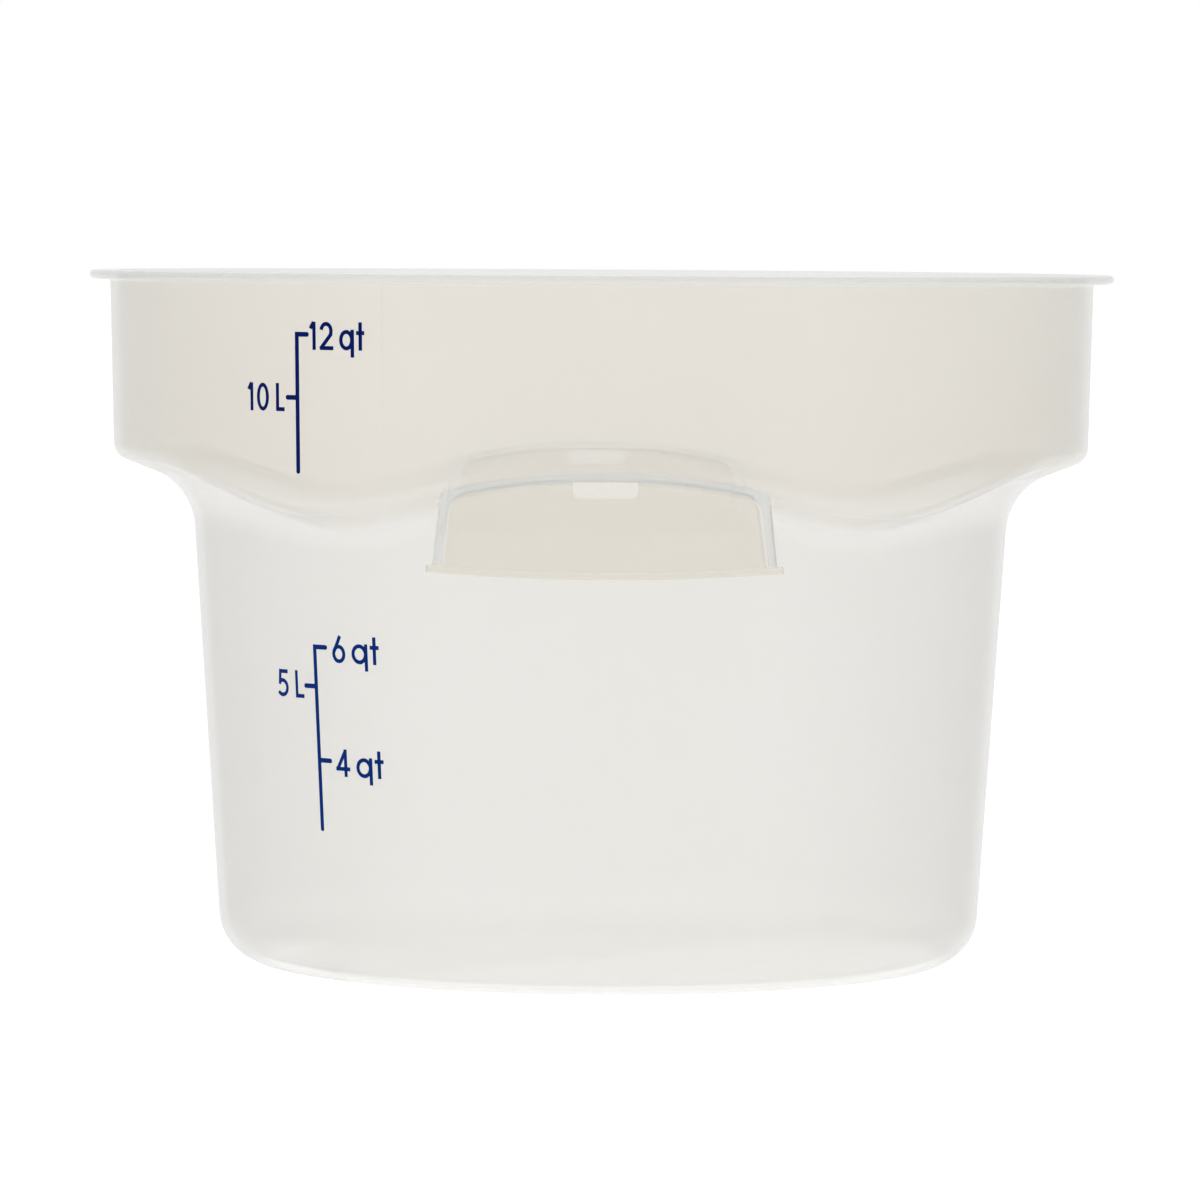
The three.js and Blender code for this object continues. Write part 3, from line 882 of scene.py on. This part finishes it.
    def swept(
        self, name: str, tree: NodeTree, section: Callable[[Key], list[Vector]], finish: Material
    ) -> Object:
        """Sweeps a section round the axis.

        Args:
            name: Object's name.
            tree: The tree that sweeps.
            section: Gives the section's points for a key.
            finish: Material of the result.

        Returns:
            A closed solid.
        """
        keys = {key.name.lower(): [Vector((p.x, p.y, 0.0)) * MM for p in section(key)] for key in Key}
        mesh = chain_mesh(name, keys["ledge"])
        for label, points in keys.items():
            stored = mesh.attributes.new(label, "FLOAT_VECTOR", "POINT")
            stored.data.foreach_set("vector", [value for point in points for value in point])
        obj = new_object(name, mesh)
        values = {
            "Facets": self.facets,
            "Ledge azimuth": self.ledge_azimuth,
            "Ledge fade": self.ledge_fade,
            "Material": finish,
        }
        run_tree(obj, tree, values)
        for label in ("azimuth", *keys):
            stored = obj.data.attributes.get(label)
            if stored is not None:
                obj.data.attributes.remove(stored)
        return obj


@dataclass
class Grip:
    """A moulded finger grip: a panel hung from the band, two cheeks, a drain slot and a bead."""

    shell: TubShell
    panel: float = 3.0
    cheek: float = 3.0
    drop: float = 27.1
    top_half: float = 50.0
    bottom_half: float = 53.0
    bow: float = 1.7
    edge_round: float = 2.5
    corner_round: float = 5.0
    inner_round: float = 1.5
    flush: float = 0.04
    roof_cover: float = 1.2
    bead: float = 2.2
    bead_stand: float = 1.0
    bead_end: float = 1.2
    bead_round: float = 0.8
    bead_steps: int = 5
    drain_width: float = 20.0
    drain_height: float = 5.0
    drain_round: float = 2.4
    depth: float = 100.0
    block_head: float = 7.1
    drain_cover: float = 0.1
    pocket_step: float = 1.0
    columns: int = 48
    rows: int = 12

    @property
    def low(self) -> float:
        """Level of the panel's lower edge at its ends, in the middle of the bead."""
        return self.shell.band_edge - self.drop

    def half_width(self, level: float) -> float:
        """Half width of the grip at a level."""
        return lerp(self.top_half, self.bottom_half, (self.shell.band_edge - level) / self.drop)

    def across(self, half: float, round_off: float) -> list[float]:
        """Places columns from side to side, close together in the rounded ends.

        Args:
            half: Half width.
            round_off: Radius of the rounded ends.

        Returns:
            Positions along X.
        """
        flat = half - round_off
        bend = [flat + round_off * math.sin(math.radians(10 * i)) for i in range(1, 10)]
        middle = [lerp(-flat, flat, i / self.columns) for i in range(self.columns + 1)]
        return [-x for x in reversed(bend)] + middle + bend

    @staticmethod
    def fall(x: float, half: float, round_off: float) -> float:
        """How far a rounded end has fallen back at a place along X."""
        past = min(max(abs(x) - half + round_off, 0.0), round_off)
        return round_off - math.sqrt(round_off**2 - past**2)

    def front_point(self, x: float, level: float, inset: float, half: float, round_off: float) -> Vector:
        """Point in metres on a sheet that follows the band's face, rounded back at its two ends."""
        radius = self.shell.band_radius(level) - inset
        return Vector((x, -math.sqrt(radius**2 - x**2) + self.fall(x, half, round_off), level)) * MM

    def block(self) -> Object:
        """Builds the outside of the grip as a solid that reaches into the tub."""
        top = self.shell.band_edge + self.block_head
        rows = []
        for j in range(self.rows + 1):
            share = j / self.rows
            level = lerp(self.low, top, share)
            half = self.half_width(level)
            rows.append([
                self.front_point(
                    x,
                    level - self.bow * (1 - (x / half) ** 2) * (1 - share),
                    self.flush,
                    half,
                    self.edge_round,
                )
                for x in self.across(half, self.edge_round)
            ])
        return new_object("grip_block", curtain_mesh("grip_block", rows, -self.depth * MM))

    def pocket(self) -> Object:
        """Builds the finger room behind the panel, open below, as a solid to cut away."""
        shell = self.shell
        low = self.low - self.bow - 2 * self.bead
        wave = Key.LEDGE.value.drop - Key.GRIP_ARCH.value.drop
        rows = []
        for j in range(self.rows + 1):
            share = j / self.rows
            half = self.half_width(lerp(low, shell.band_edge, share)) - self.cheek
            row = []
            for x in self.across(half, self.corner_round):
                roof = shell.band_edge - wave * shell.ledge_share(math.asin(x / shell.band_radius(low)))
                top = roof + self.roof_cover - self.fall(x, half, self.corner_round)
                row.append(self.front_point(x, lerp(low, top, share), self.panel, half, self.inner_round))
            rows.append(row)
        back = -(self.depth - self.pocket_step) * MM
        return new_object("grip_pocket", curtain_mesh("grip_pocket", rows, back))

    def drain(self) -> Object:
        """Builds the drain slot, with rounded lower corners, as a solid to cut away."""
        half = self.drain_width / 2
        top = self.shell.band_edge - self.drain_cover
        front, back = -self.shell.rim_radius * MM, -(self.shell.band_radius(top) - 2 * self.panel) * MM
        rows = [[], []]
        for x in self.across(half, self.drain_round):
            foot = top - self.drain_height + self.fall(x, half, self.drain_round)
            rows[0].append(Vector((x * MM, front, foot * MM)))
            rows[1].append(Vector((x * MM, front, top * MM)))
        return new_object("grip_drain", curtain_mesh("grip_drain", rows, back))

    @staticmethod
    def bead_tree() -> NodeTree:
        """Builds the tree that sweeps a rounded bar along a path.

        Returns:
            A tree whose geometry input is the path, as a chain of points.
        """
        tree, group = geometry_tree("finger_bead", ("Width", "Height", "Round"), ("Round steps",))
        node = partial(add_node, tree)
        path = node("GeometryNodeMeshToCurve", {"Mesh": group.outputs["Geometry"]})
        level = node("GeometryNodeSetCurveNormal", {"Curve": path}, mode="Z_UP")
        bar = node(
            "GeometryNodeCurvePrimitiveQuadrilateral",
            {"Width": group.outputs["Width"], "Height": group.outputs["Height"]},
        )
        soft = node(
            "GeometryNodeFilletCurve",
            {
                "Curve": bar,
                "Count": group.outputs["Round steps"],
                "Radius": group.outputs["Round"],
                "Limit Radius": True,
            },
            mode="POLY",
        )
        swept = node("GeometryNodeCurveToMesh", {"Curve": level, "Profile Curve": soft, "Fill Caps": True})
        closed = node("GeometryNodeMergeByDistance", {"Geometry": swept, "Distance": FINE_WELD})
        end_tree(tree, group, closed)
        return tree

    def finger_bead(self, finish: Material) -> Object:
        """Builds the bead along the panel's lower edge.

        Args:
            finish: Material of the bead.

        Returns:
            A closed solid.
        """
        reach = self.bottom_half + self.bead_end
        inset = (self.panel - self.bead_stand) / 2
        points = []
        for i in range(self.columns + 1):
            x = lerp(-reach, reach, i / self.columns)
            level = self.low - self.bow * (1 - (x / reach) ** 2)
            points.append(self.front_point(x, level, inset, 2 * reach, self.edge_round))
        obj = new_object("grip_bead", chain_mesh("grip_bead", points))
        values = {
            "Width": (self.panel + self.bead_stand) * MM,
            "Height": self.bead * MM,
            "Round": self.bead_round * MM,
            "Round steps": self.bead_steps,
            "Material": finish,
        }
        return run_tree(obj, self.bead_tree(), values)

    def build(self, heart: Object, finish: Material) -> Object:
        """Builds the front grip as one solid that ends inside the tub's wall.

        Args:
            heart: Solid of all that lies inside the middle of the wall.
            finish: Material of the grip.

        Returns:
            A closed solid.
        """
        grip = self.block()
        grip.name = "grip"
        grip.data.materials.append(finish)
        return combine(grip, [
            ("DIFFERENCE", self.pocket()),
            ("DIFFERENCE", self.drain()),
            ("DIFFERENCE", heart),
            ("UNION", self.finger_bead(finish)),
        ])


@dataclass
class Tub:
    """The moulding: the shell with its two grips, as one solid."""

    shell: TubShell = field(default_factory=TubShell)
    smooth_angle: float = math.radians(32.0)
    heart_levels: tuple[float, float] = (100.0, 205.0)

    def build(self, finish: Material) -> Object:
        """Builds the moulding and dresses it.

        Args:
            finish: Material of the moulding.

        Returns:
            The moulding.
        """
        tree = self.shell.tree()
        tub = self.shell.swept("tub_moulding", tree, self.shell.section, finish)
        heart = self.shell.swept(
            "heart", tree, lambda key: self.shell.heart(key, *self.heart_levels), finish
        )
        grip = Grip(self.shell).build(heart, finish)
        grips = []
        for end in End:
            copy = new_object(f"grip_{end.name.lower()}", grip.data.copy())
            copy.data.transform(Matrix.Rotation(end.value, 4, "Z"))
            grips.append(("UNION", copy))
        bpy.data.objects.remove(grip)
        combine(tub, grips)
        mesh = tub.data
        mesh.polygons.foreach_set("use_smooth", [True] * len(mesh.polygons))
        mesh.set_sharp_from_angle(angle=self.smooth_angle)
        return tub


@dataclass(frozen=True)
class Glyph:
    """A figure or letter as strokes in a box 1 wide and 1 high.

    A bar runs from (u, v) to (u, v). A bow goes round a centre (u, v) with two half sizes, between two
    angles in degrees.
    """

    width: float
    bars: tuple[tuple[float, float, float, float], ...] = ()
    bows: tuple[tuple[float, float, float, float, float, float], ...] = ()
    lead: float = 0.0


GLYPHS: dict[str, Glyph] = {
    "0": Glyph(6.0, bows=((0.5, 0.5, 0.5, 0.5, 0, 360),), lead=0.7),
    "1": Glyph(2.9, bars=((1, 0, 1, 1), (0.1, 0.87, 0.6, 1))),
    "2": Glyph(6.1, ((0.9, 0.55, 0.05, 0.03), (0.05, 0, 1, 0)), ((0.49, 0.71, 0.46, 0.29, -32, 172),), 0.4),
    "4": Glyph(5.8, bars=((0.74, 0, 0.74, 1), (0, 0.25, 1, 0.25), (0.7, 0.97, 0.04, 0.27))),
    "5": Glyph(5.5, ((0.2, 1, 0.95, 1), (0.2, 1, 0.12, 0.52)), ((0.42, 0.31, 0.58, 0.31, -145, 128),)),
    "6": Glyph(5.4, ((0.06, 0.42, 0.6, 1),), ((0.5, 0.31, 0.5, 0.31, 0, 360),)),
    "q": Glyph(6.3, ((1, -0.29, 1, 0.69),), ((0.48, 0.34, 0.48, 0.34, 0, 360),)),
    "t": Glyph(3.4, bars=((0.5, 0, 0.5, 1), (0, 0.64, 1, 0.64)), lead=-0.3),
    "L": Glyph(4.1, bars=((0, 0, 0, 1), (0, 0, 1, 0)), lead=1.0),
}


@dataclass(frozen=True)
class Mark:
    """A volume mark: text, share of the face's height, side, gap to its tick and drop below it."""

    text: str
    share: float
    side: Side
    gap: float
    drop: float


@dataclass
class PrintedScale:
    """A printed volume scale on a straight face of the wall: a stem, its ticks and their text."""

    name: str
    azimuth: float
    foot_share: float
    stretch: float
    marks: tuple[Mark, ...]
    low: float
    high: float
    radius: float
    draft: float
    line: float = 1.5
    stroke: float = 1.25
    figure: float = 8.7
    letter_gap: float = 1.2
    word_gap: float = 2.5
    tick: float = 5.5
    film: float = 0.04
    stand_off: float = 0.03
    turns: int = 40
    least_turns: int = 8
    points: list[Vector] = field(default_factory=list)
    faces: list[tuple[int, ...]] = field(default_factory=list)

    def up(self, share: float) -> float:
        """Distance up the face from its foot to a share of its height."""
        return share * (self.high - self.low) / math.cos(self.draft)

    def ribbon(self, left: list[Vector], right: list[Vector], closed: bool) -> None:
        """Adds a flat stroke of ink with its thickness.

        Args:
            left: Points along the stroke's left edge, in millimetres along and up the face.
            right: Points along its right edge.
            closed: Whether the stroke joins its own start.
        """
        start, count = len(self.points), len(left)
        for a, b in zip(left, right, strict=True):
            for spot, rise in ((a, 0.0), (b, 0.0), (b, self.film), (a, self.film)):
                self.points.append(Vector((spot.x, rise, spot.y)) * MM)
        for i in range(count if closed else count - 1):
            here, there = start + 4 * i, start + 4 * ((i + 1) % count)
            for k in range(4):
                m = (k + 1) % 4
                self.faces.append((here + k, here + m, there + m, there + k))
        if not closed:
            last = start + 4 * (count - 1)
            self.faces.append((start + 3, start + 2, start + 1, start))
            self.faces.append((last, last + 1, last + 2, last + 3))

    def bar(self, start: Vector, stop: Vector, line: float, rounded: bool = False) -> None:
        """Adds a straight stroke, half a line past both points.

        Args:
            start: First point.
            stop: Last point.
            line: Stroke's width.
            rounded: Whether its far end is round, and not square.
        """
        along = (stop - start).normalized() * line / 2
        side = Vector((-along.y, along.x))
        spine = [(start - along, 1.0), (stop + along, 1.0)]
        if rounded:
            bend = [math.radians(15 * i) for i in range(6)]
            spine[1:] = [(stop + along * math.sin(a), math.cos(a)) for a in bend]
        self.ribbon(
            [spot + side * share for spot, share in spine],
            [spot - side * share for spot, share in spine],
            False,
        )

    def bow(self, centre: Vector, half: Vector, start: float, stop: float) -> None:
        """Adds a round stroke about a centre, between two angles in degrees."""
        whole = stop - start == 360
        count = max(self.least_turns, round(self.turns * (stop - start) / 360))
        inner, outer = [], []
        for i in range(count if whole else count + 1):
            angle = math.radians(lerp(start, stop, i / count))
            way = Vector((math.cos(angle), math.sin(angle)))
            for edge, grow in ((inner, -self.stroke / 2), (outer, self.stroke / 2)):
                edge.append(centre + Vector((way.x * (half.x + grow), way.y * (half.y + grow))))
        self.ribbon(inner, outer, whole)

    def letter(self, glyph: Glyph, along: float, level: float) -> None:
        """Adds a figure or letter.

        Args:
            glyph: Its strokes.
            along: Left end of its baseline, along the face.
            level: Its baseline, up the face.
        """
        room = Vector((glyph.width * self.stretch - self.stroke, self.figure - self.stroke))
        corner = Vector((along, level)) + Vector((self.stroke, self.stroke)) / 2

        def spot(u: float, v: float) -> Vector:
            """Returns a place in the glyph's box as a point on the face."""
            return corner + Vector((u * room.x, v * room.y))

        for u0, v0, u1, v1 in glyph.bars:
            self.bar(spot(u0, v0), spot(u1, v1), self.stroke)
        for u, v, ru, rv, start, stop in glyph.bows:
            self.bow(spot(u, v), Vector((ru * room.x, rv * room.y)), start, stop)

    def write(self, mark: Mark) -> None:
        """Adds the text beside one tick."""
        letters = []
        for index, word in enumerate(mark.text.split(" ")):
            for place, character in enumerate(word):
                before = self.letter_gap if place else index * self.word_gap
                letters.append((GLYPHS[character], (before + GLYPHS[character].lead) * self.stretch))
        along = self.tick * self.stretch + mark.gap
        if mark.side is Side.LEFT:
            along = -along - sum(before + glyph.width * self.stretch for glyph, before in letters)
        level = self.up(mark.share) - self.figure / 2 - mark.drop
        for glyph, before in letters:
            self.letter(glyph, along + before, level)
            along += before + glyph.width * self.stretch

    @staticmethod
    def tree() -> NodeTree:
        """Builds the tree that joins flat strokes into one film and wraps it on a leaning round wall.

        Returns:
            A tree whose geometry input is the flat film: X along, Z up and Y out of the face.
        """
        tree, group = geometry_tree("wrapped_print", ("Azimuth", "Radius", "Level", "Draft", "Stand off"))
        node = partial(add_node, tree)
        joined = node(
            "GeometryNodeMeshBoolean",
            {"Mesh 2": group.outputs["Geometry"], "Self Intersection": True},
            operation="UNION",
            solver="EXACT",
        )
        flat = node(SEPARATE, {"Vector": node("GeometryNodeInputPosition")})
        lean_out, lean_up = (
            node(MATH, {0: group.outputs["Draft"]}, operation=name) for name in ("SINE", "COSINE")
        )
        out = node(
            MATH, {0: flat.outputs["Z"], 1: lean_out, 2: group.outputs["Radius"]}, operation="MULTIPLY_ADD"
        )
        lift = node(MATH, {0: flat.outputs["Y"], 1: group.outputs["Stand off"]}, operation="ADD")
        reach = node(MATH, {0: lift, 1: lean_up, 2: out}, operation="MULTIPLY_ADD")
        climb = node(
            MATH, {0: flat.outputs["Z"], 1: lean_up, 2: group.outputs["Level"]}, operation="MULTIPLY_ADD"
        )
        sink = node(MATH, {0: lift, 1: lean_out}, operation="MULTIPLY")
        level = node(MATH, {0: climb, 1: sink}, operation="SUBTRACT")
        swing = node(MATH, {0: flat.outputs["X"], 1: out}, operation="DIVIDE")
        angle = node(MATH, {0: swing, 1: group.outputs["Azimuth"]}, operation="ADD")
        wrapped = about_axis(tree, joined, angle, reach, level)
        outward = node("GeometryNodeFlipFaces", {"Mesh": wrapped})
        end_tree(tree, group, outward)
        return tree

    def build(self, tree: NodeTree, finish: Material) -> Object:
        """Builds the scale as one film of ink on the wall.

        Args:
            tree: The tree that wraps the film.
            finish: Material of the ink.

        Returns:
            The printed scale.
        """
        top = max(mark.share for mark in self.marks)
        self.bar(Vector((0.0, self.up(top))), Vector((0.0, self.up(self.foot_share))), self.line, True)
        for mark in self.marks:
            end = mark.side.value * (self.tick * self.stretch - self.line / 2)
            self.bar(Vector((0.0, self.up(mark.share))), Vector((end, self.up(mark.share))), self.line, True)
            self.write(mark)
        mesh = bpy.data.meshes.new(self.name)
        mesh.from_pydata(self.points, [], self.faces)
        obj = new_object(self.name, mesh)
        values = {
            "Azimuth": self.azimuth,
            "Radius": self.radius * MM,
            "Level": self.low * MM,
            "Draft": self.draft,
            "Stand off": self.stand_off * MM,
            "Material": finish,
        }
        return run_tree(obj, tree, values)


@dataclass
class Studio:
    """White floor, soft light and the camera of the photograph."""

    ambient: float = 0.8
    floor_colour: str = "#8C8C8A"
    floor_lift: float = 0.92
    floor_half: float = 30.0
    focal_pixels: float = 7000.0
    frame_pixels: float = 1200.0
    distance: float = 2.288
    eye_level: float = 0.2395
    azimuth: float = math.radians(-0.55)
    pitch: float = math.radians(3.0425)
    roll: float = 0.0061
    sensor_mm: float = 36.0
    sight: float = 200.0
    aim_level: float = 0.12
    bounces: int = 16
    diffuse_bounces: int = 8
    clear_bounces: int = 48

    @staticmethod
    def seen(tree: NodeTree) -> Node:
        """Returns a node that is 1 for a ray from the camera, a gloss or a clear surface."""
        path = add_node(tree, "ShaderNodeLightPath")
        near = add_node(
            tree,
            MATH,
            {0: path.outputs["Is Camera Ray"], 1: path.outputs["Is Glossy Ray"]},
            operation="MAXIMUM",
        )
        return add_node(tree, MATH, {0: near, 1: path.outputs["Is Transmission Ray"]}, operation="MAXIMUM")

    def world(self) -> None:
        """Sets a white surrounding that lights the tub evenly."""
        world = bpy.data.worlds.new("white_studio")
        tree = start_nodes(world)
        light, white = (
            add_node(tree, "ShaderNodeBackground", {"Color": WHITE, "Strength": strength})
            for strength in (self.ambient, 1.0)
        )
        shown = add_node(tree, MIX_SHADER, {0: self.seen(tree), 1: light, 2: white})
        add_node(tree, "ShaderNodeOutputWorld", {"Surface": shown})
        bpy.context.scene.world = world

    def floor(self) -> Object:
        """Lays the white floor that keeps the tub's shadow.

        Returns:
            The floor.
        """
        material = bpy.data.materials.new("white_paper_sweep")
        tree = start_nodes(material)
        paper = add_node(tree, "ShaderNodeBsdfDiffuse", {"Color": linear(self.floor_colour)})
        glow = add_node(tree, "ShaderNodeEmission", {"Strength": self.floor_lift})
        both = add_node(tree, "ShaderNodeAddShader", {0: paper, 1: glow})
        add_node(tree, "ShaderNodeOutputMaterial", {"Surface": both})
        half = self.floor_half
        mesh = bpy.data.meshes.new("floor")
        corners = [(-half, -half, 0.0), (half, -half, 0.0), (half, half, 0.0), (-half, half, 0.0)]
        mesh.from_pydata(corners, [], [(0, 1, 2, 3)])
        mesh.materials.append(material)
        floor = new_object("floor", mesh)
        return floor

    def lamps(self) -> None:
        """Hangs three large soft lamps: one above and one at each side."""
        plan = {
            "lamp_top": ((0.0, 0.2, 2.4), 2.4, 8.0),
            "lamp_left": ((-2.2, -1.6, 1.3), 1.6, 5.0),
            "lamp_right": ((2.2, -1.6, 1.3), 1.6, 5.0),
        }
        for name, (place, size, power) in plan.items():
            lamp = bpy.data.lights.new(name, "AREA")
            lamp.shape = "SQUARE"
            lamp.size = size
            lamp.energy = power
            obj = bpy.data.objects.new(name, lamp)
            obj.location = place
            aim = Vector((0.0, 0.0, self.aim_level)) - Vector(place)
            obj.rotation_euler = aim.to_track_quat("-Z", "Y").to_euler()
            bpy.context.scene.collection.objects.link(obj)

    def camera(self) -> None:
        """Places the camera where the photograph was taken from."""
        data = bpy.data.cameras.new("camera")
        data.sensor_width = self.sensor_mm
        data.lens = data.sensor_width * self.focal_pixels / self.frame_pixels
        data.clip_end = self.sight
        camera = bpy.data.objects.new("camera", data)
        tilt = Matrix.Rotation(math.pi / 2 - self.pitch, 4, "X") @ Matrix.Rotation(self.roll, 4, "Z")
        place = Matrix.Translation((0.0, -self.distance, self.eye_level))
        camera.matrix_world = Matrix.Rotation(self.azimuth, 4, "Z") @ place @ tilt
        bpy.context.scene.collection.objects.link(camera)
        bpy.context.scene.camera = camera

    def build(self) -> None:
        """Sets up the whole studio."""
        scene = bpy.context.scene
        scene.view_settings.view_transform = "Standard"
        scene.cycles.max_bounces = self.bounces
        scene.cycles.transmission_bounces = self.bounces
        scene.cycles.diffuse_bounces = self.diffuse_bounces
        scene.cycles.transparent_max_bounces = self.clear_bounces
        self.world()
        self.floor()
        self.lamps()
        self.camera()


def printed_scales(shell: TubShell) -> list[PrintedScale]:
    """Lists the tub's printed scales.

    Args:
        shell: The wall that carries them.

    Returns:
        The upper scale on the band and the lower scale on the lower wall.
    """
    band_foot = shell.shoulder(Key.LEDGE, 0.0)[-1].y
    wall_foot = shell.base_corner + PRINT_MARGIN
    wall_head = min(shell.shoulder(key, 0.0)[0].y for key in Key) - PRINT_MARGIN
    upper = PrintedScale(
        "upper_scale_print",
        azimuth=math.radians(-36.55),
        foot_share=0.131,
        stretch=0.85,
        marks=(Mark("12 qt", 0.762, Side.RIGHT, 0.15, 0.4), Mark("10 L", 0.471, Side.LEFT, 0.5, 0.0)),
        low=band_foot,
        high=shell.rim_underside,
        radius=shell.band_radius(band_foot),
        draft=shell.band_draft,
    )
    lower = PrintedScale(
        "lower_scale_print",
        azimuth=math.radians(-43.95),
        foot_share=0.273,
        stretch=1.0,
        marks=(
            Mark("6 qt", 0.762, Side.RIGHT, 2.1, 0.4),
            Mark("5 L", 0.656, Side.LEFT, 0.15, -0.3),
            Mark("4 qt", 0.458, Side.RIGHT, 1.7, 0.4),
        ),
        low=wall_foot,
        high=wall_head,
        radius=shell.wall_radius(wall_foot),
        draft=shell.wall_draft,
    )
    return [upper, lower]


def main() -> None:
    """Builds the studio and the tub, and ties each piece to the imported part."""
    logging.basicConfig(level=logging.INFO, format="%(name)s: %(message)s")
    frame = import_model()
    Studio().build()

    tub = Tub()
    plastic = NaturalPolypropylene().material()
    ink = ScreenInk().material()
    moulding = tub.build(plastic)
    printed = ("print_", "upper_scale", "lower_scale")
    pieces = {moulding: ("plastic", lambda node: not node.startswith(printed))}
    tree = PrintedScale.tree()
    for scale in printed_scales(tub.shell):
        stem = scale.name.replace("print", "stem")
        texts = tuple(f"print_{mark.text.replace(' ', '')}_" for mark in scale.marks)
        pieces[scale.build(tree, ink)] = ("ink", lambda node, own=(stem, *texts): node.startswith(own))
    for piece, (slot, owns) in pieces.items():
        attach(piece, "root")
        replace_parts(piece, *[node for node in frame["nodes"] if owns(node)])
        faces, nodes = len(piece.data.polygons), len(piece["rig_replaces"])
        log.info("%s: %d faces, replaces %d nodes", piece.name, faces, nodes)


if __name__ == "__main__":
    main()
